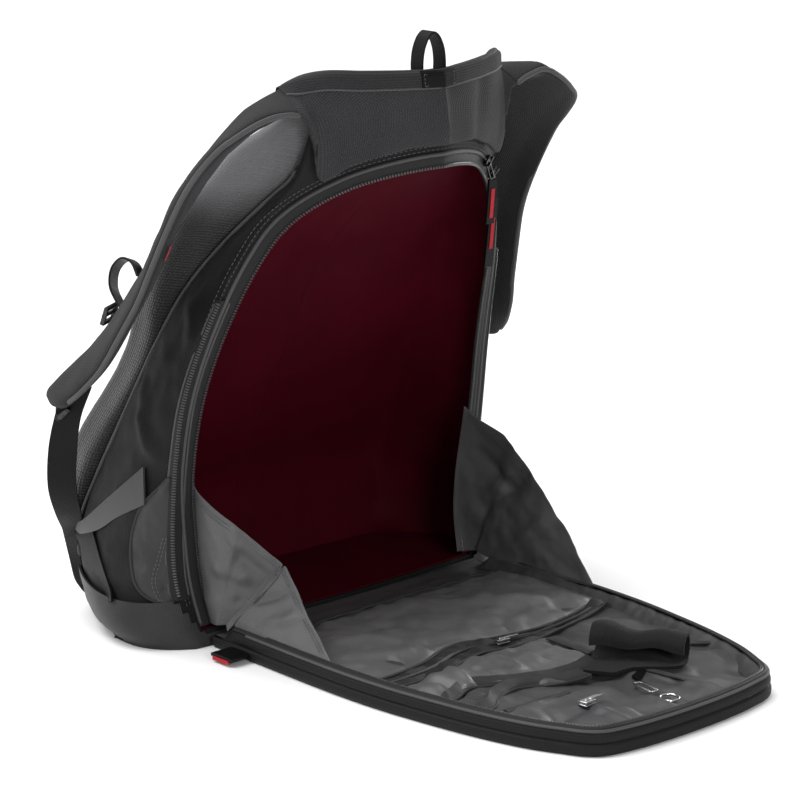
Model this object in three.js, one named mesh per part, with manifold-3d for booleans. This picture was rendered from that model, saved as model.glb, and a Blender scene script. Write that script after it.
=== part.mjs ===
import * as THREE from "three";
import { mergeVertices } from "three/addons/utils/BufferGeometryUtils.js";
import Module from "manifold-3d";

// Driving dimensions, in millimetres
// Main body: x to the wearer's sides, the opening faces -Y, the floor is z = 0
const TOP_HEIGHT = 470;
const HALF_WIDTH = 170;
const BASE_HALF_WIDTH = 204;
const DEPTH = 128;
const TOP_LEAN = 127;
const FRONT_CROWN = 50;
const BACK_CROWN = 4;
const BODY_WALL = 3;
const LINING_WALL = 1.5;
const LINING_GAP = 1.2;
const FIT = 0.3;
const SAFE_CUT = 60;

// Opening in the front, an arch seen from -Y
const OPENING_DROP = 66;
const OPENING_HEIGHT = TOP_HEIGHT - OPENING_DROP;
const OPENING_HALF_WIDTH = 162;
const OPENING_SILL = 16;
const ZIP_WIDTH = 9;
const ZIP_THICKNESS = 2.4;
const SIDE_ZIP_THICKNESS = 3.4;
const SIDE_ZIP_LIFT = 0.8;

// Base panel round the lowest part of the body
const BASE_PANEL_HEIGHT = 40;
const BASE_PANEL_WALL = 2.2;
const BASE_GAP = 0.6;
const HINGE_HALF_WIDTH = 173;

// Back pad of air mesh
const PAD_THICKNESS = 42;
const WING_REACH = 52;
const WING_SETBACK = 68;

// Yoke and shoulder straps
const SHOULDER_HALF_SPAN = 226;
const STRAP_REACH = 131;
const STRAP_SWING = 50;
const YOKE_THICKNESS = 8;
const STRAP_THICKNESS = 14;
const STRAP_SEAM_GAP = 2;
const PIPING_RADIUS = 2.2;
const NECK_PIPING_RADIUS = 2.8;

// Webbing, loops and buckles
const WEBBING_WIDTH = 28;
const WEBBING_THICKNESS = 2;
const WING_TAB_THICKNESS = 2;
const HAUL_LOOP_WIDTH = 13;
const HAUL_LOOP_SETBACK = 6.2;
const HAUL_LOOP_HEIGHT = 33;
const HAUL_LOOP_SPREAD = 24;
const LADDER_LOCK_LENGTH = 16;
const LADDER_LOCK_THICKNESS = 4.5;
const STRAP_TIP_REACH = 11;
const LOCK_GAP = 4.8;
const STERNUM_WEBBING_WIDTH = 20;
const STERNUM_BUCKLE_LENGTH = 16;
const STERNUM_BUCKLE_THICKNESS = 4;
const PULL_TAB_WIDTH = 9;
const PULL_TAB_THICKNESS = 2.6;
const UPPER_TAB_LENGTH = 38;
const LOWER_TAB_LENGTH = 60;
const UPPER_TAB_OFF = 10.5;
const LOWER_TAB_OFF = 7;
const SLIDER_LENGTH = 13;
const SLIDER_WIDTH = 9;
const SLIDER_THICKNESS = 4;
const SLIDER_LIFT = 0.6;
const PULLER_WIDTH = 5;
const PULLER_GAP = 1.1;
const PULLER_THICKNESS = 2;

// Folded-down front flap
const FLAP_GAP = 5;
const FLAP_START = 14.4;
const FLAP_LENGTH = 400;
const FLAP_HALF_WIDTH = 154;
const FLAP_RIM_HEIGHT = 24;
const FLAP_WALL = 3;
const FLAP_PAD_HEIGHT = 13;
const FLAP_ZIP_WIDTH = 6;
const FLAP_HINGE_HEIGHT = 10;
const HINGE_RUN = 10;
const POCKET_THICKNESS = 2;
const POCKET_ZIP_THICKNESS = 2.6;
const GUSSET_THICKNESS = 1.4;
const GUSSET_REACH = 152;
const GUSSET_HEIGHT = 138;
const HINGE_TAB_REACH = 20;
const HINGE_TAB_LEVEL = 2;
const HINGE_TAB_THICKNESS = 3;
const ROLL_RADIUS = 15;
const ROLL_WALL = 3;
const KEY_RING_RADIUS = 7.5;
const KEY_RING_WIRE = 1.1;
const KEY_CLIP_LENGTH = 26;
const KEY_CLIP_WIDTH = 9;

const v = (x, y, z) => new THREE.Vector3(x, y, z);
const wasm = await Module();
wasm.setup();

// Solids

// Smooth value of one column of a table, at a share between its first and last row.
function smoothColumn(rows, keyName, column, at) {
  let i = rows.findIndex((row) => row[keyName] >= at);
  if (i < 0) i = rows.length - 1;
  if (i === 0) i = 1;
  const before = rows[i - 1];
  const after = rows[i];
  const span = after[keyName] - before[keyName];
  const t = Math.min(1, Math.max(0, (at - before[keyName]) / span));
  const slope = (a, b) => (b[column] - a[column]) / (b[keyName] - a[keyName]);
  const here = slope(before, after);
  const first = i > 1 ? (slope(rows[i - 2], before) + here) / 2 : here;
  const last = i + 1 < rows.length ? (slope(after, rows[i + 1]) + here) / 2 : here;
  const t2 = t * t;
  const t3 = t2 * t;
  return (
    before[column] * (2 * t3 - 3 * t2 + 1) +
    first * span * (t3 - 2 * t2 + t) +
    after[column] * (3 * t2 - 2 * t3) +
    last * span * (t3 - t2)
  );
}

// Triangle mesh as a solid, turned outwards if its faces point in.
function solidOf(points, faces) {
  const signed = faces.reduce((sum, [a, b, c]) => {
    const cross = new THREE.Vector3().crossVectors(points[b], points[c]);
    return sum + points[a].dot(cross);
  }, 0);
  const turned = signed < 0 ? faces.map(([a, b, c]) => [a, c, b]) : faces;
  return new wasm.Manifold(
    new wasm.Mesh({
      numProp: 3,
      vertProperties: new Float32Array(points.flatMap((p) => p.toArray())),
      triVerts: new Uint32Array(turned.flat()),
    }),
  );
}

// Closed solid through rings of as many points each; the ends are flat or fanned.
function throughRings(rings) {
  const count = rings[0].length;
  const points = rings.flat();
  const faces = [];
  for (let i = 0; i + 1 < rings.length; i += 1) {
    for (let j = 0; j < count; j += 1) {
      const k = (j + 1) % count;
      const a = i * count + j;
      const b = i * count + k;
      faces.push([a, b, b + count], [a, b + count, a + count]);
    }
  }
  const cap = (ring, start, flip) => {
    const across = new THREE.Vector3().subVectors(ring[Math.floor(count / 3)], ring[0]);
    const other = new THREE.Vector3().subVectors(ring[Math.floor((2 * count) / 3)], ring[0]);
    const normal = new THREE.Vector3().crossVectors(across, other).normalize();
    const side = across.normalize();
    const up = new THREE.Vector3().crossVectors(normal, side);
    const flat = ring.map((p) => new THREE.Vector2(p.dot(side), p.dot(up)));
    const turned = THREE.ShapeUtils.isClockWise(flat);
    for (const face of THREE.ShapeUtils.triangulateShape(flat, [])) {
      const [a, b, c] = turned ? [face[0], face[2], face[1]] : face;
      faces.push(flip ? [start + a, start + c, start + b] : [start + a, start + b, start + c]);
    }
    return turned;
  };
  const lastStart = (rings.length - 1) * count;
  const sign = new THREE.Vector3();
  const ringNormal = (ring) => {
    sign.set(0, 0, 0);
    ring.forEach((p, j) => sign.add(new THREE.Vector3().crossVectors(p, ring[(j + 1) % count])));
    return sign.clone();
  };
  const capWith = (ring, start, wanted) => {
    const before = faces.length;
    cap(ring, start, false);
    const [a, b, c] = faces[before];
    const normal = new THREE.Vector3()
      .subVectors(points[b], points[a])
      .cross(new THREE.Vector3().subVectors(points[c], points[a]));
    if (normal.dot(ringNormal(ring)) * wanted < 0) {
      for (let i = before; i < faces.length; i += 1) {
        const [p, q, r] = faces[i];
        faces[i] = [p, r, q];
      }
    }
  };
  capWith(rings[0], 0, -1);
  capWith(rings[rings.length - 1], lastStart, 1);
  return solidOf(points, faces);
}

// Solid of any closed three.js geometry.
function solidFrom(geometry) {
  const bare = geometry.index ? geometry.toNonIndexed() : geometry.clone();
  bare.deleteAttribute("normal");
  bare.deleteAttribute("uv");
  const merged = mergeVertices(bare, 1e-3);
  const position = merged.getAttribute("position");
  const points = Array.from({ length: position.count }, (_, i) =>
    new THREE.Vector3().fromBufferAttribute(position, i),
  );
  const index = Array.from(merged.index.array);
  const faces = Array.from({ length: index.length / 3 }, (_, i) => index.slice(3 * i, 3 * i + 3));
  return solidOf(points, faces);
}

// Round cord or piping along a smooth curve through points.
function tube(points, radius, sides, steps) {
  const curve = new THREE.CatmullRomCurve3(points, false, "centripetal");
  const section = new THREE.Shape();
  for (let i = 0; i < sides; i += 1) {
    const angle = (2 * Math.PI * i) / sides;
    const x = radius * Math.cos(angle);
    const y = radius * Math.sin(angle);
    if (i === 0) section.moveTo(x, y);
    else section.lineTo(x, y);
  }
  section.closePath();
  return solidFrom(
    new THREE.ExtrudeGeometry(section, { steps, extrudePath: curve, curveSegments: 1 }),
  );
}

// Points across a ribbon: share of its width, and share of its half thickness.
const FLAT_SECTION = [
  { across: 0, off: 1 },
  { across: 0.5, off: 1 },
  { across: 1, off: 1 },
  { across: 1, off: -1 },
  { across: 0.5, off: -1 },
  { across: 0, off: -1 },
];
const EDGED_SECTION = [
  { across: 0, off: 1 },
  { across: 1, off: 1 },
  { across: 1, off: -1 },
  { across: 0, off: -1 },
];
const PADDED_SECTION = [
  { across: 0, off: 0.35 },
  { across: 0.14, off: 0.85 },
  { across: 0.5, off: 1 },
  { across: 0.86, off: 0.85 },
  { across: 1, off: 0.35 },
  { across: 1, off: -0.35 },
  { across: 0.86, off: -0.85 },
  { across: 0.5, off: -1 },
  { across: 0.14, off: -0.85 },
  { across: 0, off: -0.35 },
];

// Strap, panel or band between two edge curves; each station holds its edge points a and b.
function ribbon(stations, thickness, section, grow = 0) {
  const middles = stations.map((s) => new THREE.Vector3().addVectors(s.a, s.b).multiplyScalar(0.5));
  const rings = stations.map((s, i) => {
    const from = middles[Math.max(0, i - 1)];
    const to = middles[Math.min(middles.length - 1, i + 1)];
    const tangent = new THREE.Vector3().subVectors(to, from).normalize();
    const width = new THREE.Vector3().subVectors(s.b, s.a);
    const length = width.length();
    width.normalize();
    const normal = new THREE.Vector3().crossVectors(tangent, width).normalize();
    const half = (s.thickness ?? thickness) / 2 + grow;
    const shift = new THREE.Vector3();
    if (grow > 0 && i === 0) shift.copy(tangent).multiplyScalar(-grow);
    if (grow > 0 && i === stations.length - 1) shift.copy(tangent).multiplyScalar(grow);
    return section.map(({ across, off }) =>
      s.a
        .clone()
        .add(shift)
        .addScaledVector(width, across * (length + 2 * grow) - grow)
        .addScaledVector(normal, off * half),
    );
  });
  return throughRings(rings);
}

// Box by its lowest and highest corner.
function box(low, high) {
  const size = new THREE.Vector3().subVectors(high, low);
  const geometry = new THREE.BoxGeometry(size.x, size.y, size.z);
  const middle = new THREE.Vector3().addVectors(low, high).multiplyScalar(0.5);
  geometry.translate(middle.x, middle.y, middle.z);
  return solidFrom(geometry);
}

// The biggest body of a cut solid, when the cut leaves slivers.
function mainBody(solid) {
  return solid
    .decompose()
    .reduce((best, part) => (part.volume() > best.volume() ? part : best));
}

// Body sections
// up: share of the height. lean, crown: front middle and how far the sides stand behind it.
// edge: where the front turns into the side. side: the side's bulge, at bend of the depth.
// back, deep: the back edge.
const BODY_ROWS = [
  { up: 0, lean: 0.09, edge: 0.94, crown: 0.12, side: 0.93, bend: 0.41, back: 0.88, deep: 0.97 },
  { up: 0.03, lean: 0.08, edge: 0.965, crown: 0.2, side: 1, bend: 0.35, back: 0.97, deep: 1.015 },
  { up: 0.105, lean: 0.06, edge: 0.99, crown: 0.36, side: 0.99, bend: 0.33, back: 1.01, deep: 1 },
  { up: 0.17, lean: 0.06, edge: 1, crown: 0.4, side: 0.94, bend: 0.38, back: 0.995, deep: 0.99 },
  { up: 0.255, lean: 0.095, edge: 1.005, crown: 0.44, side: 0.9, bend: 0.43, back: 0.97, deep: 0.875 },
  { up: 0.335, lean: 0.16, edge: 1.005, crown: 0.52, side: 0.87, bend: 0.47, back: 0.94, deep: 0.76 },
  { up: 0.44, lean: 0.285, edge: 0.99, crown: 0.68, side: 0.84, bend: 0.47, back: 0.895, deep: 0.63 },
  { up: 0.517, lean: 0.41, edge: 0.96, crown: 0.8, side: 0.81, bend: 0.47, back: 0.865, deep: 0.56 },
  { up: 0.625, lean: 0.63, edge: 0.895, crown: 1, side: 0.745, bend: 0.47, back: 0.805, deep: 0.47 },
  { up: 0.72, lean: 0.82, edge: 0.81, crown: 1.16, side: 0.67, bend: 0.48, back: 0.74, deep: 0.29 },
  { up: 0.795, lean: 0.945, edge: 0.695, crown: 1.16, side: 0.58, bend: 0.5, back: 0.66, deep: 0.14 },
  { up: 0.838, lean: 0.985, edge: 0.625, crown: 1.02, side: 0.525, bend: 0.5, back: 0.605, deep: 0.08 },
  { up: 0.894, lean: 0.99, edge: 0.59, crown: 0.88, side: 0.495, bend: 0.5, back: 0.575, deep: 0.06 },
  { up: 0.953, lean: 0.96, edge: 0.57, crown: 0.7, side: 0.48, bend: 0.5, back: 0.565, deep: 0.05 },
  { up: 1, lean: 0.915, edge: 0.54, crown: 0.52, side: 0.456, bend: 0.5, back: 0.535, deep: 0.045 },
];
const CROWN_POWER = 1.3;

function sectionAt(z) {
  const up = Math.min(1, Math.max(0, z / TOP_HEIGHT));
  const read = (column) => smoothColumn(BODY_ROWS, "up", column, up);
  const frontY = -TOP_LEAN * read("lean");
  const edgeX = HALF_WIDTH * read("edge");
  const edgeY = frontY + FRONT_CROWN * read("crown");
  const backX = HALF_WIDTH * read("back");
  const backY = edgeY + DEPTH * read("deep");
  const sideX = BASE_HALF_WIDTH * read("side");
  const sideY = edgeY + (backY - edgeY) * read("bend");
  return { frontY, edgeX, edgeY, backX, backY, sideX, sideY };
}

// Front surface of the body at a point of its front view.
function frontSurface(x, z) {
  const s = sectionAt(z);
  const share = Math.abs(x) / s.edgeX;
  if (share <= 1) return s.frontY + (s.edgeY - s.frontY) * share ** CROWN_POWER;
  return s.edgeY + (Math.abs(x) - s.edgeX);
}

// Point of the side's plan curve, from the front edge over the bulge to the back edge.
function sidePoint(start, bulge, end, t) {
  const control = bulge.clone().multiplyScalar(2).addScaledVector(start, -0.5).addScaledVector(end, -0.5);
  return start
    .clone()
    .multiplyScalar((1 - t) ** 2)
    .addScaledVector(control, 2 * t * (1 - t))
    .addScaledVector(end, t ** 2);
}

// Plan ring of the body at one height, pulled in by inset, or grown where inset is negative.
const THIN_DEPTH = 13;
function bodyRing(z, height, inset) {
  const s = sectionAt(z);
  const depth = s.backY - s.edgeY;
  const squeeze = inset > 0 ? inset + Math.max(0, THIN_DEPTH - depth) * 1.2 : inset;
  const limit = s.edgeX - squeeze;
  const half = [];
  const FRONT_STEPS = 5;
  for (let i = 0; i <= FRONT_STEPS; i += 1) {
    const x = (limit * i) / FRONT_STEPS;
    const share = x / s.edgeX;
    half.push(v(x, s.frontY + (s.edgeY - s.frontY) * share ** CROWN_POWER + inset, height));
  }
  const start = half[half.length - 1];
  const end = v(Math.min(s.backX - squeeze, s.backX), s.backY - inset, height);
  const bulge = v(s.sideX - squeeze, s.sideY, height);
  const SIDE_STEPS = 4;
  for (let i = 1; i <= SIDE_STEPS; i += 1) half.push(sidePoint(start, bulge, end, i / SIDE_STEPS));
  const BACK_STEPS = 3;
  for (let i = 1; i <= BACK_STEPS; i += 1) {
    const t = i / BACK_STEPS;
    const rise = BACK_CROWN * Math.sin((Math.PI / 2) * t);
    half.push(v(end.x * (1 - t), end.y + rise, height));
  }
  const mirrored = half
    .slice(1, -1)
    .reverse()
    .map((p) => v(-p.x, p.y, p.z));
  return [...half, ...mirrored];
}

// Body solid between two heights.
function bodyForm(inset, low, high) {
  const heights = BODY_ROWS.map((row) => row.up * TOP_HEIGHT).filter(
    (z) => z > low + 4 && z < high - 4,
  );
  return throughRings([low, ...heights, high].map((z) => bodyRing(z, z, inset)));
}

// Opening
// up: share of the opening's height. out: share of its half width.
const ARCH_ROWS = [
  { up: 0.04, out: 0.925 },
  { up: 0.21, out: 0.965 },
  { up: 0.35, out: 1 },
  { up: 0.48, out: 0.99 },
  { up: 0.6, out: 0.955 },
  { up: 0.72, out: 0.895 },
  { up: 0.8, out: 0.83 },
  { up: 0.87, out: 0.745 },
  { up: 0.92, out: 0.63 },
  { up: 0.965, out: 0.45 },
  { up: 0.99, out: 0.24 },
  { up: 1, out: 0 },
];

// Right half of the arch in front view, from the sill to the top middle.
const ARCH = ARCH_ROWS.map((row) => ({
  x: OPENING_HALF_WIDTH * row.out,
  z: OPENING_HEIGHT * row.up,
}));

// Point of the arch's right half moved outwards by a distance, in front view.
function archPoint(i, outward) {
  const before = ARCH[Math.max(0, i - 1)];
  const after = ARCH[Math.min(ARCH.length - 1, i + 1)];
  const run = i === ARCH.length - 1 ? { x: -1, z: 0 } : { x: after.x - before.x, z: after.z - before.z };
  const length = Math.hypot(run.x, run.z);
  const x = ARCH[i].x + (outward * run.z) / length;
  const z = ARCH[i].z - (outward * run.x) / length;
  return { x: Math.max(0, x), z };
}

// All of the front wall inside the arch, down to just behind that wall.
const CUT_REACH = 2 * TOP_LEAN;
const CUT_DEPTH = 10;
function openingCut(grow) {
  const half = ARCH.map((_, i) => archPoint(i, grow));
  half[0].z = OPENING_SILL - grow;
  const top = half[half.length - 1];
  top.x = OPENING_HALF_WIDTH * 0.04;
  const rings = half.map(({ x, z }) => {
    const back = frontSurface(x, z) + CUT_DEPTH;
    return [v(-x, -CUT_REACH, z), v(x, -CUT_REACH, z), v(x, back, z), v(-x, back, z)];
  });
  return throughRings(rings);
}

const BODY_FLOOR = BASE_PANEL_WALL + FIT;
const bodyOuter = bodyForm(0, BODY_FLOOR, TOP_HEIGHT);
const bodyInner = bodyForm(BODY_WALL, BODY_FLOOR + BODY_WALL, TOP_HEIGHT - BODY_WALL);
const bodyGrown = bodyForm(-FIT, 0, TOP_HEIGHT + FIT);
const bodyShell = mainBody(bodyOuter.subtract(bodyInner).subtract(openingCut(0)));

const LINING_FLOOR = BODY_FLOOR + BODY_WALL + FIT;
const LINING_TOP = TOP_HEIGHT - BODY_WALL - FIT;
const LINING_INSET = BODY_WALL + LINING_GAP;
const liningInner = bodyForm(
  LINING_INSET + LINING_WALL,
  LINING_FLOOR + LINING_WALL,
  LINING_TOP - LINING_WALL,
);
const bodyLining = mainBody(
  bodyForm(LINING_INSET, LINING_FLOOR, LINING_TOP).subtract(liningInner).subtract(openingCut(FIT)),
);

// Base panel, a low tray under the body
const hingeNotch = box(
  v(-HINGE_HALF_WIDTH, -SAFE_CUT, OPENING_SILL - FLAP_GAP),
  v(HINGE_HALF_WIDTH, DEPTH / 4, BASE_PANEL_HEIGHT + 1),
);
const basePanel = mainBody(
  bodyForm(-BASE_GAP - BASE_PANEL_WALL, 0, BASE_PANEL_HEIGHT)
    .subtract(bodyForm(-BASE_GAP, BASE_PANEL_WALL, TOP_HEIGHT))
    .subtract(hingeNotch),
);

const baseGrown = bodyForm(-BASE_GAP - FIT - BASE_PANEL_WALL, 0, BASE_PANEL_HEIGHT + FIT);
const offBody = (solid) => mainBody(solid.subtract(bodyGrown).subtract(baseGrown));

// Zip along the arch: tape and teeth as one band
function archZip() {
  const right = ARCH.map((_, i) => {
    const inner = archPoint(i, 0.4);
    const outer = archPoint(i, ZIP_WIDTH);
    const lift = ZIP_THICKNESS / 2 + FIT;
    return {
      a: v(inner.x, frontSurface(inner.x, inner.z) - lift, inner.z),
      b: v(outer.x, frontSurface(outer.x, outer.z) - lift, outer.z),
    };
  });
  const flip = ({ a, b }) => ({ a: v(-a.x, a.y, a.z), b: v(-b.x, b.y, b.z) });
  const left = right.slice(0, -1).map(flip).reverse();
  return mainBody(ribbon([...right, ...left], ZIP_THICKNESS, FLAT_SECTION).subtract(bodyGrown));
}

// Second zip, on the side beside the turn from the front
const SIDE_ZIP_ROWS = [0.1, 0.19, 0.28, 0.38, 0.48, 0.56, 0.63];
const SIDE_ZIP_FROM = 0.05;
const SIDE_ZIP_TO = 0.13;
function sideZip() {
  const stations = SIDE_ZIP_ROWS.map((up) => {
    const z = up * TOP_HEIGHT;
    const s = sectionAt(z);
    const start = v(s.edgeX, s.edgeY, z);
    const end = v(s.backX, s.backY, z);
    const bulge = v(s.sideX, s.sideY, z);
    const at = (t) => sidePoint(start, bulge, end, t).add(v(SIDE_ZIP_LIFT, -SIDE_ZIP_LIFT, 0));
    return { a: at(SIDE_ZIP_FROM), b: at(SIDE_ZIP_TO) };
  });
  return ribbon(stations, SIDE_ZIP_THICKNESS, FLAT_SECTION);
}

// Back pad
// up: share of the height. thick: share of the pad's thickness. wing: share of the wing's reach.
const PAD_ROWS = [
  { up: 0.16, thick: 0.08, wing: 0 },
  { up: 0.22, thick: 0.35, wing: 0 },
  { up: 0.3, thick: 0.72, wing: 0 },
  { up: 0.4, thick: 0.97, wing: 0 },
  { up: 0.5, thick: 1, wing: 0.03 },
  { up: 0.58, thick: 1, wing: 0.16 },
  { up: 0.66, thick: 1, wing: 0.34 },
  { up: 0.72, thick: 0.95, wing: 0.48 },
  { up: 0.8, thick: 0.8, wing: 0.7 },
  { up: 0.87, thick: 0.62, wing: 0.66 },
  { up: 0.93, thick: 0.45, wing: 0.3 },
  { up: 0.97, thick: 0.3, wing: 0 },
];
const PAD_EDGE = 9;
function backPad() {
  const rings = PAD_ROWS.map((row) => {
    const z = row.up * TOP_HEIGHT;
    const s = sectionAt(z);
    const thick = PAD_THICKNESS * row.thick;
    const out = WING_REACH * row.wing;
    const set = WING_SETBACK * row.wing;
    const edge = Math.max(1, thick - PAD_EDGE * (1 - row.wing) - (thick - PAD_EDGE) * row.wing * 0.8);
    const rear = s.backY + BACK_CROWN + thick;
    const half = [
      v(0, s.backY - 5, z),
      v(s.backX * 0.9, s.backY - 5, z),
      v(s.backX - 1 + out, s.backY + 1 + set, z),
      v(s.backX - 4 + out * 0.97, s.backY + 1 + set + edge, z),
      v(s.backX * 0.72, rear, z),
      v(s.backX * 0.36, rear + 1, z),
      v(0, rear - 3, z),
    ];
    const mirrored = half
      .slice(1, -1)
      .reverse()
      .map((p) => v(-p.x, p.y, p.z));
    return [...half, ...mirrored];
  });
  return throughRings(rings);
}

// Yoke and strap, one ribbon from the middle of the yoke to the strap's end
// Edge a is the arm side and edge b the neck side; the shares are of the span, reach and height.
const STRAP_ROWS = [
  { ax: 0, ay: -1, az: 0.885, bx: 0, by: -0.931, bz: 1.004 },
  { ax: 0.159, ay: -0.924, az: 0.883, bx: 0.164, by: -0.878, bz: 1.009 },
  { ax: 0.319, ay: -0.786, az: 0.862, bx: 0.31, by: -0.802, bz: 1.013 },
  { ax: 0.429, ay: -0.687, az: 0.838, bx: 0.403, by: -0.702, bz: 1.015 },
  { ax: 0.456, ay: -0.687, az: 0.904, bx: 0.456, by: -0.58, bz: 1.006 },
  { ax: 0.509, ay: -0.687, az: 0.949, bx: 0.496, by: -0.466, bz: 0.987 },
  { ax: 0.611, ay: -0.695, az: 0.957, bx: 0.549, by: -0.374, bz: 0.966 },
  { ax: 0.708, ay: -0.702, az: 0.951, bx: 0.615, by: -0.328, bz: 0.938 },
  { ax: 0.796, ay: -0.687, az: 0.934, bx: 0.673, by: -0.298, bz: 0.904 },
  { ax: 0.872, ay: -0.626, az: 0.906, bx: 0.717, by: -0.237, bz: 0.864 },
  { ax: 0.912, ay: -0.458, az: 0.847, bx: 0.739, by: -0.092, bz: 0.809 },
  { ax: 0.916, ay: -0.267, az: 0.77, bx: 0.743, by: 0.092, bz: 0.745 },
  { ax: 0.916, ay: -0.115, az: 0.702, bx: 0.748, by: 0.244, bz: 0.677 },
  { ax: 0.929, ay: 0.015, az: 0.632, bx: 0.77, by: 0.374, bz: 0.621 },
  { ax: 0.956, ay: 0.153, az: 0.566, bx: 0.805, by: 0.511, bz: 0.566 },
  { ax: 0.978, ay: 0.29, az: 0.506, bx: 0.85, by: 0.656, bz: 0.515 },
  { ax: 0.996, ay: 0.443, az: 0.464, bx: 0.898, by: 0.794, bz: 0.472 },
  { ax: 1, ay: 0.588, az: 0.434, bx: 0.938, by: 0.87, bz: 0.443 },
];
STRAP_ROWS.forEach((row, i) => {
  row.at = i;
});
const YOKE_END = 5;
const YOKE_STEP = 0.5;
const PIPING_START = 5.15;
const EDGE_CLEARANCE = 1;
const STRAP_END = STRAP_ROWS.length - 1;

function strapStation(at) {
  const read = (column) => smoothColumn(STRAP_ROWS, "at", column, at);
  return {
    a: v(SHOULDER_HALF_SPAN * read("ax"), STRAP_REACH * read("ay"), TOP_HEIGHT * read("az")),
    b: v(SHOULDER_HALF_SPAN * read("bx"), STRAP_REACH * read("by"), TOP_HEIGHT * read("bz")),
  };
}

// The right strap hangs further forward than the left one.
// up: share of the height. share: of the swing.
const SWING_ROWS = [
  { up: 0.22, share: 0 },
  { up: 0.28, share: 0.62 },
  { up: 0.42, share: 1 },
  { up: 0.56, share: 0.7 },
  { up: 0.7, share: 0.32 },
  { up: 0.85, share: 0 },
];
function swung(stations) {
  const shift = (p) => {
    const up = Math.min(0.85, Math.max(0.22, p.z / TOP_HEIGHT));
    return v(p.x, p.y - STRAP_SWING * smoothColumn(SWING_ROWS, "up", "share", up), p.z);
  };
  return stations.map(({ a, b, thickness }) => ({ a: shift(a), b: shift(b), thickness }));
}

const mirrorPoint = (p) => v(-p.x, p.y, p.z);
const mirrorStation = ({ a, b, thickness }) => ({ a: mirrorPoint(a), b: mirrorPoint(b), thickness });

function yokeStations() {
  const right = [];
  for (let at = 0; at <= YOKE_END; at += YOKE_STEP) right.push(strapStation(at));
  const left = right.slice(1).map(mirrorStation).reverse();
  return [...left, ...right];
}

function strapStations() {
  const seam = strapStation(YOKE_END);
  const next = strapStation(YOKE_END + 1);
  const step = STRAP_SEAM_GAP / seam.a.distanceTo(next.a);
  const stations = [strapStation(YOKE_END + step)];
  for (let at = YOKE_END + 1; at <= STRAP_END; at += 1) stations.push(strapStation(at));
  const last = stations[stations.length - 1];
  const middle = new THREE.Vector3().addVectors(last.a, last.b).multiplyScalar(0.5);
  const before = stations[stations.length - 2];
  const along = new THREE.Vector3()
    .addVectors(last.a, last.b)
    .sub(before.a)
    .sub(before.b)
    .normalize();
  const END_STEPS = [
    { forward: 7, narrow: 0.8 },
    { forward: 11, narrow: 0.45 },
  ];
  for (const { forward, narrow } of END_STEPS) {
    const place = (p) => middle.clone().lerp(p, narrow).addScaledVector(along, forward);
    stations.push({ a: place(last.a), b: place(last.b), thickness: STRAP_THICKNESS * narrow });
  }
  return stations;
}

// Path beside an edge of the yoke or strap, clear of it by the piping's radius.
function besideEdge(station, edge, radius) {
  const inward = new THREE.Vector3().subVectors(station.b, station.a).normalize();
  const away = edge === "a" ? -1 : 1;
  return station[edge].clone().addScaledVector(inward, away * (radius + FIT + EDGE_CLEARANCE));
}

const pipingStations = [];
for (let at = PIPING_START; at <= STRAP_END; at += 0.85) pipingStations.push(strapStation(at));
const armPipingPath = (stations) => stations.map((s) => besideEdge(s, "a", PIPING_RADIUS));
const neckPath = yokeStations().map((s) => besideEdge(s, "b", NECK_PIPING_RADIUS));
const armPiping = tube(armPipingPath(pipingStations), PIPING_RADIUS, 6, 24);
const armPipingRight = tube(armPipingPath(swung(pipingStations)), PIPING_RADIUS, 6, 24);
const neckBinding = tube(neckPath, NECK_PIPING_RADIUS, 6, 20);

const mirrorX = (solid) => solid.mirror([1, 0, 0]);
const zipBody = archZip();

const yoke = mainBody(
  ribbon(yokeStations(), YOKE_THICKNESS, PADDED_SECTION).subtract(bodyGrown),
);
const strap = ribbon(strapStations(), STRAP_THICKNESS, PADDED_SECTION);
const strapRight = ribbon(swung(strapStations()), STRAP_THICKNESS, PADDED_SECTION);
const bindingGrown = tube(neckPath, NECK_PIPING_RADIUS + FIT, 6, 20);
const strapGrown = ribbon(strapStations(), STRAP_THICKNESS, PADDED_SECTION, FIT);
const strapRightGrown = ribbon(swung(strapStations()), STRAP_THICKNESS, PADDED_SECTION, FIT);
const yokeGrown = ribbon(yokeStations(), YOKE_THICKNESS, PADDED_SECTION, FIT);
const pad = mainBody(
  backPad()
    .subtract(bodyGrown)
    .subtract(yokeGrown)
    .subtract(strapRightGrown)
    .subtract(mirrorX(strapGrown))
    .subtract(bindingGrown),
);

// Webbing and tabs on each side, as edge rows like those of the straps
const STRAP_WEBBING_ROWS = [
  { ax: 1.0478, ay: 0.8342, az: 0.374, bx: 0.9673, by: 0.9781, bz: 0.4039 },
  { ax: 1.0037, ay: 0.8505, az: 0.354, bx: 0.9702, by: 1.0503, bz: 0.3716 },
  { ax: 0.945, ay: 0.8759, az: 0.3246, bx: 0.9812, by: 1.0783, bz: 0.3307 },
  { ax: 0.9092, ay: 0.8977, az: 0.2915, bx: 0.9781, by: 1.0794, bz: 0.2915 },
  { ax: 0.8883, ay: 0.9374, az: 0.2447, bx: 0.9688, by: 1.1084, bz: 0.2447 },
  { ax: 0.8945, ay: 0.9877, az: 0.2028, bx: 0.9404, by: 1.1726, bz: 0.1972 },
  { ax: 0.8902, ay: 1.0473, az: 0.1659, bx: 0.8902, by: 1.197, bz: 0.1575 },
];
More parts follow.
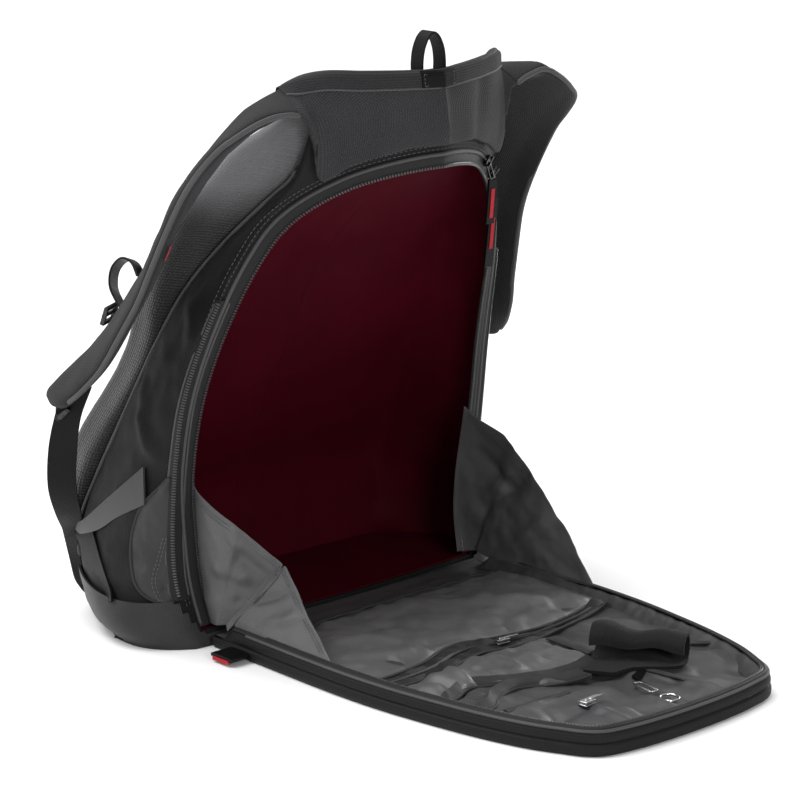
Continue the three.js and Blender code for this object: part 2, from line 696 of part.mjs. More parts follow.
const WING_TAB_ROWS = [
  { ax: 0.8568, ay: 0.29, az: 0.319, bx: 0.8832, by: 0.29, bz: 0.26 },
  { ax: 0.891, ay: 0.504, az: 0.264, bx: 0.9134, by: 0.489, bz: 0.217 },
  { ax: 0.9114, ay: 0.702, az: 0.221, bx: 0.9162, by: 0.687, bz: 0.183 },
  { ax: 0.9118, ay: 0.855, az: 0.191, bx: 0.9018, by: 0.855, bz: 0.164 },
  { ax: 0.8918, ay: 0.977, az: 0.174, bx: 0.8818, by: 0.977, bz: 0.153 },
  { ax: 0.8674, ay: 1.084, az: 0.166, bx: 0.8575, by: 1.084, bz: 0.147 },
];
const LOWER_WEBBING_ROWS = [
  { ax: 0.8818, ay: 0.962, az: 0.14, bx: 0.9118, by: 0.748, bz: 0.157 },
  { ax: 0.9317, ay: 0.794, az: 0.111, bx: 0.9705, by: 0.55, bz: 0.128 },
  { ax: 0.9705, ay: 0.611, az: 0.077, bx: 1.0148, by: 0.382, bz: 0.098 },
  { ax: 0.9948, ay: 0.534, az: 0.06, bx: 1.0392, by: 0.321, bz: 0.085 },
];
const LOWER_TAIL_ROWS = [
  { ax: 0.863, ay: 1.13, az: 0.132, bx: 0.853, by: 1.038, bz: 0.136 },
  { ax: 0.8431, ay: 1.176, az: 0.094, bx: 0.8331, by: 1.069, bz: 0.094 },
  { ax: 0.853, ay: 1.099, az: 0.055, bx: 0.8431, by: 0.992, bz: 0.055 },
  { ax: 0.8874, ay: 0.947, az: 0.047, bx: 0.9018, by: 0.84, bz: 0.051 },
  { ax: 0.9217, ay: 0.824, az: 0.051, bx: 0.9505, by: 0.718, bz: 0.06 },
];
const STERNUM_LOOP_ROWS = [
  { ax: 0.8087, ay: 0.2821, az: 0.6596, bx: 0.7443, by: 0.3515, bz: 0.648 },
  { ax: 0.7999, ay: 0.3584, az: 0.6788, bx: 0.7355, by: 0.4278, bz: 0.6672 },
  { ax: 0.7954, ay: 0.4729, az: 0.6809, bx: 0.7311, by: 0.5423, bz: 0.6693 },
  { ax: 0.7999, ay: 0.5645, az: 0.6575, bx: 0.7355, by: 0.6339, bz: 0.6459 },
  { ax: 0.8043, ay: 0.5721, az: 0.6277, bx: 0.7399, by: 0.6415, bz: 0.6161 },
  { ax: 0.8043, ay: 0.5111, az: 0.6043, bx: 0.7399, by: 0.5805, bz: 0.5927 },
  { ax: 0.8087, ay: 0.4576, az: 0.5958, bx: 0.7443, by: 0.527, bz: 0.5842 },
];
// Low down they follow the width of the base, and from the strap's end up that of the straps.
const SPAN_FROM = 0.2;
const SPAN_TO = 0.4;
function sidePlace(x, y, up) {
  const share = Math.min(1, Math.max(0, (up - SPAN_FROM) / (SPAN_TO - SPAN_FROM)));
  const span = BASE_HALF_WIDTH + (SHOULDER_HALF_SPAN - BASE_HALF_WIDTH) * share;
  return v(span * x, STRAP_REACH * y, TOP_HEIGHT * up);
}
const sideStations = (rows) =>
  rows.map((row) => ({
    a: sidePlace(row.ax, row.ay, row.az),
    b: sidePlace(row.bx, row.by, row.bz),
  }));
const sideRibbon = (rows, thickness) => ribbon(sideStations(rows), thickness, EDGED_SECTION);
const swungRibbon = (rows, thickness) => ribbon(swung(sideStations(rows)), thickness, EDGED_SECTION);


// Flat plate about a point, by its directions and outline
const PLATE_OUTLINE = [
  { along: -0.5, across: -0.34 },
  { along: -0.5, across: 0.34 },
  { along: -0.3, across: 0.5 },
  { along: 0.36, across: 0.5 },
  { along: 0.5, across: 0.3 },
  { along: 0.5, across: -0.3 },
  { along: 0.36, across: -0.5 },
  { along: -0.3, across: -0.5 },
];
function plate(centre, along, across, length, width, thickness) {
  const run = along.clone().normalize();
  const up = new THREE.Vector3().crossVectors(run, across).normalize();
  const side = new THREE.Vector3().crossVectors(up, run);
  const ring = (lift) =>
    PLATE_OUTLINE.map((p) =>
      centre
        .clone()
        .addScaledVector(run, p.along * length)
        .addScaledVector(side, p.across * width)
        .addScaledVector(up, lift),
    );
  return throughRings([ring(-thickness / 2), ring(thickness / 2)]);
}

// Ladder lock at a strap's end, with the webbing running from under it
const middleOf = ({ a, b }) => a.clone().lerp(b, 0.5);
function ladderLock(hang) {
  const [before, tip] = hang([strapStation(STRAP_END - 1), strapStation(STRAP_END)]);
  const run = middleOf(tip).sub(middleOf(before)).normalize();
  const reach = STRAP_TIP_REACH + LADDER_LOCK_LENGTH / 2 + LOCK_GAP;
  const across = tip.b.clone().sub(tip.a);
  const middle = middleOf(tip).addScaledVector(run, reach);
  return plate(middle, run, across, LADDER_LOCK_LENGTH, WEBBING_WIDTH + 5, LADDER_LOCK_THICKNESS);
}
function sternumBuckle(hang) {
  const at = v(SHOULDER_HALF_SPAN * 0.8128, STRAP_REACH * 0.562, TOP_HEIGHT * 0.5795);
  const [middle] = hang([{ a: at, b: at }]);
  return plate(
    middle.a,
    v(0.1, 0.35, -1),
    v(0.8, -0.5, 0.3),
    STERNUM_BUCKLE_LENGTH,
    STERNUM_WEBBING_WIDTH,
    STERNUM_BUCKLE_THICKNESS,
  );
}
const asIs = (stations) => stations;

// Haul loop, standing on the top of the body behind the neckline
const HAUL_ROWS = [
  { out: -1, up: 0 },
  { out: -1.02, up: 0.3 },
  { out: -0.86, up: 0.62 },
  { out: -0.45, up: 0.9 },
  { out: 0, up: 1 },
  { out: 0.45, up: 0.9 },
  { out: 0.86, up: 0.62 },
  { out: 1.02, up: 0.3 },
  { out: 1, up: 0 },
];
function haulLoop() {
  const middle = sectionAt(TOP_HEIGHT);
  const y = middle.frontY + HAUL_LOOP_SETBACK;
  const foot = TOP_HEIGHT + FIT + WEBBING_THICKNESS / 2;
  const stations = HAUL_ROWS.map((row) => {
    const x = (HAUL_LOOP_SPREAD / 2) * row.out;
    const z = foot + HAUL_LOOP_HEIGHT * row.up;
    return { a: v(x, y - HAUL_LOOP_WIDTH / 2, z), b: v(x, y + HAUL_LOOP_WIDTH / 2, z) };
  });
  return ribbon(stations, WEBBING_THICKNESS, EDGED_SECTION);
}

// Sliders of the main zip near the top right of the arch, each with its puller and woven tab
const SLIDER_ROWS = [
  { name: "upper", place: 8.7, tabOut: 0.5926, tabTop: 0.9167, tabLength: UPPER_TAB_LENGTH, off: UPPER_TAB_OFF },
  { name: "lower", place: 7.95, tabOut: 0.7099, tabTop: 0.865, tabLength: LOWER_TAB_LENGTH, off: LOWER_TAB_OFF },
];
function onArch(place, outward) {
  const i = Math.floor(place);
  const from = archPoint(i, outward);
  const to = archPoint(i + 1, outward);
  const t = place - i;
  const x = from.x + (to.x - from.x) * t;
  const z = from.z + (to.z - from.z) * t;
  return v(x, frontSurface(x, z), z);
}
function slider(row) {
  const middle = onArch(row.place, ZIP_WIDTH / 2);
  const run = onArch(row.place + 0.3, ZIP_WIDTH / 2).sub(middle);
  const across = onArch(row.place, ZIP_WIDTH).sub(middle);
  const off = new THREE.Vector3().crossVectors(run, across).normalize();
  if (off.y > 0) off.negate();
  middle.addScaledVector(off, ZIP_THICKNESS + SLIDER_LIFT + SLIDER_THICKNESS / 2);
  const body = plate(middle, run, across, SLIDER_LENGTH, SLIDER_WIDTH, SLIDER_THICKNESS);
  const end = tabStation(row, 0);
  const tip = end.a.clone().lerp(end.b, 0.5);
  const link = tip.clone().sub(middle);
  const reach = link.length() - PULLER_GAP;
  const puller = plate(
    middle.clone().addScaledVector(link.clone().normalize(), reach / 2),
    link,
    v(1, 0, 0),
    reach,
    PULLER_WIDTH,
    PULLER_THICKNESS,
  );
  return body.add(puller);
}
function tabStation(row, share) {
  const x = OPENING_HALF_WIDTH * row.tabOut;
  const z = OPENING_HEIGHT * row.tabTop - row.tabLength * share;
  const half = PULL_TAB_WIDTH / 2;
  const y = frontSurface(x, z) - row.off;
  return { a: v(x - half, y, z), b: v(x + half, y, z) };
}
function pullTab(row) {
  return ribbon([0, 0.35, 0.7, 1].map((t) => tabStation(row, t)), PULL_TAB_THICKNESS, EDGED_SECTION);
}

// Flap lying on the floor in front of the hinge
// along: share of its length from the hinge. out: share of its half width.
const FLAP_ROWS = [
  { along: 0, out: 0.987 },
  { along: 0.115, out: 0.994 },
  { along: 0.39, out: 1 },
  { along: 0.515, out: 0.981 },
  { along: 0.627, out: 0.942 },
  { along: 0.715, out: 0.903 },
  { along: 0.79, out: 0.857 },
  { along: 0.853, out: 0.805 },
  { along: 0.907, out: 0.74 },
  { along: 0.945, out: 0.688 },
  { along: 0.973, out: 0.61 },
  { along: 0.99, out: 0.429 },
  { along: 0.998, out: 0.221 },
  { along: 1, out: 0 },
];
const flapY = (along) => -(FLAP_START + FLAP_LENGTH * along);
function flapPoint(i, inward) {
  const place = (row) => new THREE.Vector2(FLAP_HALF_WIDTH * row.out, flapY(row.along));
  const before = place(FLAP_ROWS[Math.max(0, i - 1)]);
  const after = place(FLAP_ROWS[Math.min(FLAP_ROWS.length - 1, i + 1)]);
  const run = i === FLAP_ROWS.length - 1 ? new THREE.Vector2(-1, 0) : after.sub(before).normalize();
  if (i === 0) run.set(0, -1);
  const point = place(FLAP_ROWS[i]).add(new THREE.Vector2(run.y, -run.x).multiplyScalar(inward));
  if (i === 0) point.y -= inward;
  return point;
}
function flapPrism(inward, low, high) {
  const right = FLAP_ROWS.map((_, i) => flapPoint(i, inward));
  const left = right
    .slice(0, -1)
    .reverse()
    .map((p) => new THREE.Vector2(-p.x, p.y));
  const outline = [...right, ...left];
  const ring = (z) => outline.map((p) => v(p.x, p.y, z));
  return throughRings([ring(low), ring(high)]);
}
const RIM_TOP = FLAP_RIM_HEIGHT - ZIP_THICKNESS - FIT;
const hingeEnd = box(
  v(-SHOULDER_HALF_SPAN, -FLAP_START - HINGE_RUN, FLAP_HINGE_HEIGHT),
  v(SHOULDER_HALF_SPAN, 0, FLAP_RIM_HEIGHT + 1),
);
const flapShell = flapPrism(0, 0, RIM_TOP)
  .subtract(flapPrism(FLAP_WALL, FLAP_WALL, RIM_TOP + 1))
  .subtract(hingeEnd);
const flapZip = flapPrism(0, RIM_TOP + FIT, FLAP_RIM_HEIGHT)
  .subtract(flapPrism(FLAP_ZIP_WIDTH, RIM_TOP, FLAP_RIM_HEIGHT + 1))
  .subtract(hingeEnd);
const flapLining = flapPrism(FLAP_WALL + FIT, FLAP_WALL + FIT, FLAP_PAD_HEIGHT).subtract(hingeEnd);

// Pockets of the organiser, bands on the lining
// out: share of the half width. near, far: shares of the length from the hinge.
const ZIP_POCKET_ROWS = [
  { out: -0.903, near: 0.13, far: 0.458 },
  { out: -0.714, near: 0.13, far: 0.453 },
  { out: -0.513, near: 0.11, far: 0.44 },
  { out: -0.325, near: 0.11, far: 0.412 },
  { out: -0.188, near: 0.11, far: 0.407 },
  { out: -0.058, near: 0.11, far: 0.425 },
  { out: 0.13, near: 0.11, far: 0.44 },
  { out: 0.325, near: 0.11, far: 0.448 },
  { out: 0.636, near: 0.11, far: 0.43 },
  { out: 0.89, near: 0.13, far: 0.395 },
];
const POCKET_ZIP_ROWS = [
  { out: -0.903, near: 0.46, far: 0.517 },
  { out: -0.714, near: 0.455, far: 0.52 },
  { out: -0.513, near: 0.443, far: 0.512 },
  { out: -0.325, near: 0.415, far: 0.49 },
  { out: -0.188, near: 0.41, far: 0.485 },
  { out: -0.058, near: 0.427, far: 0.497 },
  { out: 0.13, near: 0.443, far: 0.5 },
  { out: 0.325, near: 0.45, far: 0.487 },
  { out: 0.636, near: 0.432, far: 0.465 },
  { out: 0.89, near: 0.398, far: 0.43 },
];
const MIDDLE_POCKET_ROWS = [
  { out: -0.87, near: 0.52, far: 0.65 },
  { out: -0.773, near: 0.522, far: 0.64 },
  { out: -0.617, near: 0.52, far: 0.618 },
  { out: -0.442, near: 0.507, far: 0.65 },
  { out: -0.273, near: 0.492, far: 0.682 },
  { out: -0.039, near: 0.502, far: 0.695 },
  { out: 0.156, near: 0.502, far: 0.68 },
];
const FAR_POCKET_ROWS = [
  { out: -0.838, near: 0.655, far: 0.73 },
  { out: -0.721, near: 0.64, far: 0.725 },
  { out: -0.617, near: 0.623, far: 0.695 },
  { out: -0.442, near: 0.655, far: 0.68 },
  { out: -0.273, near: 0.688, far: 0.71 },
  { out: -0.169, near: 0.695, far: 0.723 },
  { out: -0.026, near: 0.7, far: 0.725 },
];
const POCKET_TOP = FLAP_PAD_HEIGHT + FIT + POCKET_THICKNESS;
function flapBand(rows, thickness) {
  const z = FLAP_PAD_HEIGHT + FIT + thickness / 2;
  const stations = rows.map((row) => ({
    a: v(FLAP_HALF_WIDTH * row.out, flapY(row.near), z),
    b: v(FLAP_HALF_WIDTH * row.out, flapY(row.far), z),
  }));
  return ribbon(stations, thickness, EDGED_SECTION);
}
const onFlap = (out, along, z) => v(FLAP_HALF_WIDTH * out, flapY(along), z);

// Rolled strap: a strip coiled about an axis that lies across the flap, with a loose tongue
const rollFrom = onFlap(0.208, 0.64, POCKET_TOP + FIT + ROLL_RADIUS);
const rollTo = onFlap(0.468, 0.8025, POCKET_TOP + FIT + ROLL_RADIUS);
const ROLL_ROWS = [
  { aside: 42, turn: null, from: 0.02, to: 0.34 },
  { aside: 26, turn: null, from: 0.01, to: 0.5 },
  { aside: 12, turn: null, from: 0, to: 0.94 },
  { aside: 0, turn: 0, from: 0, to: 1 },
  { aside: 0, turn: 40, from: 0, to: 1 },
  { aside: 0, turn: 80, from: 0, to: 1 },
  { aside: 0, turn: 120, from: 0, to: 1 },
  { aside: 0, turn: 160, from: 0, to: 1 },
  { aside: 0, turn: 200, from: 0, to: 1 },
  { aside: 0, turn: 240, from: 0, to: 1 },
  { aside: 0, turn: 275, from: 0, to: 1 },
];
function rolledStrap() {
  const axis = rollTo.clone().sub(rollFrom);
  const away = v(axis.y, -axis.x, 0).normalize();
  const radius = ROLL_RADIUS - ROLL_WALL / 2;
  const stations = ROLL_ROWS.map((row) => {
    const angle = THREE.MathUtils.degToRad(row.turn ?? 0);
    const offset = away
      .clone()
      .multiplyScalar(row.aside - radius * Math.sin(angle))
      .add(v(0, 0, -radius * Math.cos(angle)));
    const at = (share) => rollFrom.clone().addScaledVector(axis, share).add(offset);
    return { a: at(row.from), b: at(row.to) };
  });
  return ribbon(stations, ROLL_WALL, EDGED_SECTION);
}

// Key strap, clip and ring beside the roll
const KEY_LEVEL = FLAP_PAD_HEIGHT + FIT + KEY_RING_WIRE;
const keyStrap = ribbon(
  [
    { a: onFlap(0.32, 0.735, KEY_LEVEL), b: onFlap(0.29, 0.76, KEY_LEVEL) },
    { a: onFlap(0.22, 0.76, KEY_LEVEL), b: onFlap(0.19, 0.785, KEY_LEVEL) },
    { a: onFlap(0.13, 0.775, KEY_LEVEL), b: onFlap(0.11, 0.8, KEY_LEVEL) },
  ],
  WEBBING_THICKNESS,
  EDGED_SECTION,
);
function keyClip() {
  const middle = onFlap(0.07, 0.833, KEY_LEVEL);
  const run = v(-5, -29, 0);
  const outer = plate(middle, run, v(1, 0, 0), KEY_CLIP_LENGTH, KEY_CLIP_WIDTH, KEY_RING_WIRE * 2);
  const length = KEY_CLIP_LENGTH - 4 * KEY_RING_WIRE;
  const width = KEY_CLIP_WIDTH - 4 * KEY_RING_WIRE;
  return outer.subtract(plate(middle, run, v(1, 0, 0), length, width, KEY_RING_WIRE * 4));
}
function keyRing() {
  const ring = new THREE.TorusGeometry(KEY_RING_RADIUS, KEY_RING_WIRE, 6, 16);
  const middle = onFlap(0.045, 0.905, KEY_LEVEL);
  ring.translate(middle.x, middle.y, middle.z);
  return solidFrom(ring);
}

// Short zip near the far left of the flap
const SHORT_ZIP_ROWS = [
  { along: 0.815, left: -0.375, right: -0.3 },
  { along: 0.89, left: -0.375, right: -0.3 },
  { along: 0.965, left: -0.395, right: -0.32 },
];
const shortZip = ribbon(
  SHORT_ZIP_ROWS.map((row) => {
    const z = FLAP_PAD_HEIGHT + FIT + POCKET_THICKNESS / 2;
    return { a: onFlap(row.left, row.along, z), b: onFlap(row.right, row.along, z) };
  }),
  POCKET_THICKNESS,
  EDGED_SECTION,
);
function flatSlider(out, along, run, zipThickness) {
  const level = FLAP_PAD_HEIGHT + 2 * FIT + zipThickness + SLIDER_THICKNESS / 2;
  const middle = onFlap(out, along, level);
  return plate(middle, run, v(0, 1, 0), SLIDER_LENGTH, SLIDER_WIDTH, SLIDER_THICKNESS);
}

// Gussets between the sides of the opening and of the flap; the left one is folded inwards
// Edge a stays by the hinge and edge b is the hem; shares of half width, reach and height.
const GUSSET_LEFT_ROWS = [
  { ax: -0.939, ay: 0.0921, az: 0.1739, bx: -1.0065, by: 0.1316, bz: 0.9928 },
  { ax: -0.939, ay: 0.1184, az: 0.1594, bx: -0.9156, by: 0.25, bz: 0.7826 },
  { ax: -0.9286, ay: 0.1447, az: 0.1449, bx: -0.7338, by: 0.3816, bz: 0.5362 },
  { ax: -0.9286, ay: 0.1974, az: 0.1377, bx: -0.8052, by: 0.6579, bz: 0.3478 },
  { ax: -0.9416, ay: 0.2368, az: 0.1341, bx: -0.9539, by: 1.0395, bz: 0.1522 },
];
const GUSSET_RIGHT_ROWS = [
  { ax: 0.939, ay: 0.0921, az: 0.1739, bx: 1, by: 0.1316, bz: 1.058 },
  { ax: 0.939, ay: 0.1184, az: 0.1594, bx: 0.987, by: 0.3816, bz: 0.8768 },
  { ax: 0.9403, ay: 0.1447, az: 0.1449, bx: 0.974, by: 0.6316, bz: 0.6739 },
  { ax: 0.9416, ay: 0.1974, az: 0.1377, bx: 0.961, by: 0.8947, bz: 0.3768 },
  { ax: 0.9429, ay: 0.2368, az: 0.1341, bx: 0.9532, by: 1.0658, bz: 0.1522 },
];
const gusset = (rows) =>
  ribbon(
    rows.map((row) => ({
      a: v(FLAP_HALF_WIDTH * row.ax, -GUSSET_REACH * row.ay, GUSSET_HEIGHT * row.az),
      b: v(FLAP_HALF_WIDTH * row.bx, -GUSSET_REACH * row.by, GUSSET_HEIGHT * row.bz),
    })),
    GUSSET_THICKNESS,
    EDGED_SECTION,
  );
const hingeTab = box(
  v(-FLAP_HALF_WIDTH - HINGE_TAB_REACH, flapY(0.125), HINGE_TAB_LEVEL),
  v(-FLAP_HALF_WIDTH * FLAP_ROWS[1].out - FIT, flapY(0.06), HINGE_TAB_LEVEL + HINGE_TAB_THICKNESS),
);

// Nodes
const group = new THREE.Group();
const finishes = {
  ballistic: { color: 0x1b1b1d, roughness: 0.82, metalness: 0 },
  yokeWeave: { color: 0x3a3a3c, roughness: 0.88, metalness: 0 },
  nylon: { color: 0x505154, roughness: 0.5, metalness: 0 },
  redLining: { color: 0x5a0814, roughness: 0.8, metalness: 0 },
  mesh: { color: 0x4a4b4e, roughness: 0.9, metalness: 0 },
  webbing: { color: 0x151516, roughness: 0.75, metalness: 0 },
  trim: { color: 0x242426, roughness: 0.7, metalness: 0 },
  plastic: { color: 0x101011, roughness: 0.4, metalness: 0 },
  darkMetal: { color: 0x3c3c3e, roughness: 0.35, metalness: 0.9 },
  silver: { color: 0xb9bbbd, roughness: 0.3, metalness: 1 },
  red: { color: 0xb02030, roughness: 0.6, metalness: 0 },
};
const materials = Object.fromEntries(
  Object.entries(finishes).map(([name, look]) => [name, new THREE.MeshStandardMaterial(look)]),
);

function addNode(name, solid, finish) {
  const mesh = solid.getMesh();
  const count = mesh.vertProperties.length / mesh.numProp;
  const positions = new Float32Array(count * 3);
  for (let i = 0; i < count; i += 1) {
    for (let k = 0; k < 3; k += 1) {
      positions[3 * i + k] = mesh.vertProperties[mesh.numProp * i + k];
    }
  }
  const geometry = new THREE.BufferGeometry();
  geometry.setAttribute("position", new THREE.BufferAttribute(positions, 3));
  geometry.setIndex(new THREE.BufferAttribute(new Uint32Array(mesh.triVerts), 1));
  const node = new THREE.Mesh(geometry, materials[finish]);
  node.name = name;
  group.add(node);
}

function addPair(name, solid, finish, right = solid) {
  addNode(name + "_right", right, finish);
  addNode(name + "_left", mirrorX(solid), finish);
}
function addTrimmedPair(name, solid, finish) {
  addNode(name + "_right", offBody(solid), finish);
  addNode(name + "_left", offBody(mirrorX(solid)), finish);
}
function addHangingPair(name, rows, thickness, finish) {
  addPair(name, sideRibbon(rows, thickness), finish, swungRibbon(rows, thickness));
}

addNode("body_shell", bodyShell, "ballistic");
addNode("body_lining", bodyLining, "redLining");
addNode("base_panel", basePanel, "trim");
addNode("back_pad", pad, "mesh");
addNode("yoke", yoke, "yokeWeave");
addNode("neckline_binding", neckBinding, "trim");
addPair("armhole_piping", armPiping, "trim", armPipingRight);
addPair("shoulder_strap", strap, "yokeWeave", strapRight);
addNode("main_zip_body", zipBody, "trim");
addTrimmedPair("expansion_zip", sideZip(), "trim");
addNode("haul_loop", haulLoop(), "webbing");
for (const row of SLIDER_ROWS) {
  addNode("main_slider_" + row.name, slider(row), "darkMetal");
  addNode("pull_tab_" + row.name, pullTab(row), "webbing");
}
addHangingPair("strap_webbing", STRAP_WEBBING_ROWS, WEBBING_THICKNESS, "webbing");
addPair("ladder_lock", ladderLock(asIs), "plastic", ladderLock(swung));
addTrimmedPair("wing_tab", sideRibbon(WING_TAB_ROWS, WING_TAB_THICKNESS), "nylon");
addTrimmedPair("lower_webbing", sideRibbon(LOWER_WEBBING_ROWS, WEBBING_THICKNESS), "webbing");
addTrimmedPair("webbing_tail", sideRibbon(LOWER_TAIL_ROWS, WEBBING_THICKNESS), "webbing");
addHangingPair("sternum_loop", STERNUM_LOOP_ROWS, WEBBING_THICKNESS, "webbing");
addPair("sternum_buckle", sternumBuckle(asIs), "plastic", sternumBuckle(swung));
addNode("flap_shell", flapShell, "ballistic");
addNode("main_zip_flap", flapZip, "trim");
addNode("flap_lining", flapLining, "nylon");
addNode("gusset_left", gusset(GUSSET_LEFT_ROWS), "nylon");
addNode("gusset_right", gusset(GUSSET_RIGHT_ROWS), "nylon");
addNode("hinge_tab", hingeTab, "red");
addNode("zip_pocket", flapBand(ZIP_POCKET_ROWS, POCKET_THICKNESS), "nylon");
addNode("pocket_zip", flapBand(POCKET_ZIP_ROWS, POCKET_ZIP_THICKNESS), "trim");
addNode("pocket_slider", flatSlider(-0.013, 0.465, v(1, -0.1, 0), POCKET_ZIP_THICKNESS), "silver");
addNode("middle_pocket", flapBand(MIDDLE_POCKET_ROWS, POCKET_THICKNESS), "nylon");
addNode("far_pocket", flapBand(FAR_POCKET_ROWS, POCKET_THICKNESS), "nylon");
addNode("rolled_strap", rolledStrap(), "webbing");
addNode("key_strap", keyStrap, "webbing");
addNode("key_clip", keyClip(), "silver");
addNode("key_ring", keyRing(), "silver");
addNode("short_zip", shortZip, "trim");
addNode("short_zip_slider", flatSlider(-0.344, 0.83, v(1, 0.1, 0), POCKET_THICKNESS), "silver");

// Origin at the middle of the base of the whole part
const bounds = new THREE.Box3().setFromObject(group);
const centre = bounds.getCenter(new THREE.Vector3());
group.position.set(-centre.x, -centre.y, -bounds.min.z);

export default group;
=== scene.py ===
from functools import lru_cache

import bpy
import numpy as np
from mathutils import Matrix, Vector, noise


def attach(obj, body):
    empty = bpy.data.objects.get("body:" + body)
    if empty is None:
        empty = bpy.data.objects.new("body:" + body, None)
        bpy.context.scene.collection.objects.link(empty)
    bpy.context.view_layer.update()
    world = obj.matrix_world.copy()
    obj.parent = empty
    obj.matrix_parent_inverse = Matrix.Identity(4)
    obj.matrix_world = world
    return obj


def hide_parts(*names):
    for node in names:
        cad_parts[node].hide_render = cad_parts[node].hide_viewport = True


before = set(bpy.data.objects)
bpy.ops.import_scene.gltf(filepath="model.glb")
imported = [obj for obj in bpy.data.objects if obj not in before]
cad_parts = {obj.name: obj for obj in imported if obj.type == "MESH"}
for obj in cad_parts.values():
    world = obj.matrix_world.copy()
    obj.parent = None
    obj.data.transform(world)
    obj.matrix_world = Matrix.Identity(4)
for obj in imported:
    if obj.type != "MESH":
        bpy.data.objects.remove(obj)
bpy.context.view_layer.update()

# View and light
# A low three-quarter view of the open front and the left side, on a pale floor, under a
# broad sun, three square soft lights and a white surround.
camera = bpy.data.objects.new("camera", bpy.data.cameras.new("camera"))
bpy.context.scene.collection.objects.link(camera)
camera.location = (-1.6478, -1.7397, 0.8347)
aim = Vector((0.0381, 0.0937, 0.1813)) - camera.location
camera.rotation_euler = aim.to_track_quat("-Z", "Y").to_euler()
camera.data.lens = 137.1
camera.data.sensor_width = 36
bpy.context.scene.camera = camera
bpy.context.scene.view_settings.view_transform = "Standard"

world = bpy.data.worlds.new("surround")
world.use_nodes = True
world.node_tree.nodes["Background"].inputs["Color"].default_value = (1, 1, 1, 1)
world.node_tree.nodes["Background"].inputs["Strength"].default_value = 0.42
bpy.context.scene.world = world


def new_finish(name, values):
    """New material with values for its shader; returned with its nodes and the shader."""
    material = bpy.data.materials.new(name)
    material.use_nodes = True
    shader = material.node_tree.nodes["Principled BSDF"]
    for key, value in values.items():
        shader.inputs[key].default_value = value
    return material, material.node_tree, shader


def soft_light(name, place, aim_at, size, power):
    """Square soft light that shines from one place at another."""
    light = bpy.data.lights.new(name, "AREA")
    light.shape = "SQUARE"
    light.size = size
    light.energy = power
    lamp = bpy.data.objects.new(name, light)
    bpy.context.scene.collection.objects.link(lamp)
    lamp.location = place
    lamp.rotation_euler = (Vector(aim_at) - Vector(place)).to_track_quat("-Z", "Y").to_euler()


soft_light("side_light", (-1.9, 0.9, 1.3), (-0.1, 0.1, 0.25), 1.0, 16)
soft_light("front_light", (-0.9, -2.2, 1.0), (-0.05, -0.1, 0.05), 0.6, 22)
soft_light("low_light", (2.0, 0.3, 0.7), (0.1, -0.15, 0.05), 0.5, 15)
sky = bpy.data.lights.new("sky_light", "SUN")
sky.energy = 3.2
sky.angle = 0.9
sky_lamp = bpy.data.objects.new("sky_light", sky)
bpy.context.scene.collection.objects.link(sky_lamp)
sky_lamp.rotation_euler = Vector((0.35, -0.55, -1.6)).to_track_quat("-Z", "Y").to_euler()

bpy.ops.object.select_all(action="DESELECT")
bpy.ops.mesh.primitive_plane_add(size=14, location=(0, 0, 0))
floor = bpy.context.object
floor.name = "floor"
floor.data.materials.append(
    new_finish("floor_paint", {"Base Color": (0.93, 0.93, 0.93, 1), "Roughness": 0.55})[0]
)

# Body shell
# The main bag is black ballistic nylon over thin foam, sewn from a front frame, two sides
# and a back. It leans forward over its base, and its top is pressed nearly flat.
HEIGHT = 470
PLACE = np.array([-0.02, 128.764, 0.0])
FRONT_LEAN, HALF_WIDTH, SIDE_HALF_WIDTH = 127, 170, 204
OPENING_HALF_WIDTH, OPENING_TOP, SILL = 162, 404, 16
BODY_ROWS = [
    (0, 0.09, 0.94, 0.12, 0.93, 0.41, 0.88, 0.97),
    (0.03, 0.08, 0.965, 0.2, 1, 0.35, 0.97, 1.015),
    (0.105, 0.06, 0.99, 0.36, 0.99, 0.33, 1.01, 1),
    (0.17, 0.06, 1, 0.4, 0.94, 0.38, 0.995, 0.99),
    (0.255, 0.095, 1.005, 0.44, 0.9, 0.43, 0.97, 0.875),
    (0.335, 0.16, 1.005, 0.52, 0.87, 0.47, 0.94, 0.76),
    (0.44, 0.285, 0.99, 0.68, 0.84, 0.47, 0.895, 0.63),
    (0.517, 0.41, 0.96, 0.8, 0.81, 0.47, 0.865, 0.56),
    (0.625, 0.63, 0.895, 1, 0.745, 0.47, 0.805, 0.47),
    (0.72, 0.82, 0.81, 1.16, 0.67, 0.48, 0.74, 0.29),
    (0.795, 0.945, 0.695, 1.16, 0.58, 0.5, 0.66, 0.14),
    (0.838, 0.985, 0.625, 1.02, 0.525, 0.5, 0.605, 0.08),
    (0.894, 0.99, 0.59, 0.88, 0.495, 0.5, 0.575, 0.06),
    (0.953, 0.96, 0.57, 0.7, 0.48, 0.5, 0.565, 0.05),
    (1, 0.915, 0.54, 0.52, 0.456, 0.5, 0.535, 0.045),
]
ARCH_ROWS = [
    (0.04, 0.925), (0.21, 0.965), (0.35, 1), (0.48, 0.99), (0.6, 0.955), (0.72, 0.895),
    (0.8, 0.83), (0.87, 0.745), (0.92, 0.63), (0.965, 0.45), (0.99, 0.24), (1, 0),
]


def limited(value):
    """A share kept between nothing and the whole."""
    return min(1, max(0, value))


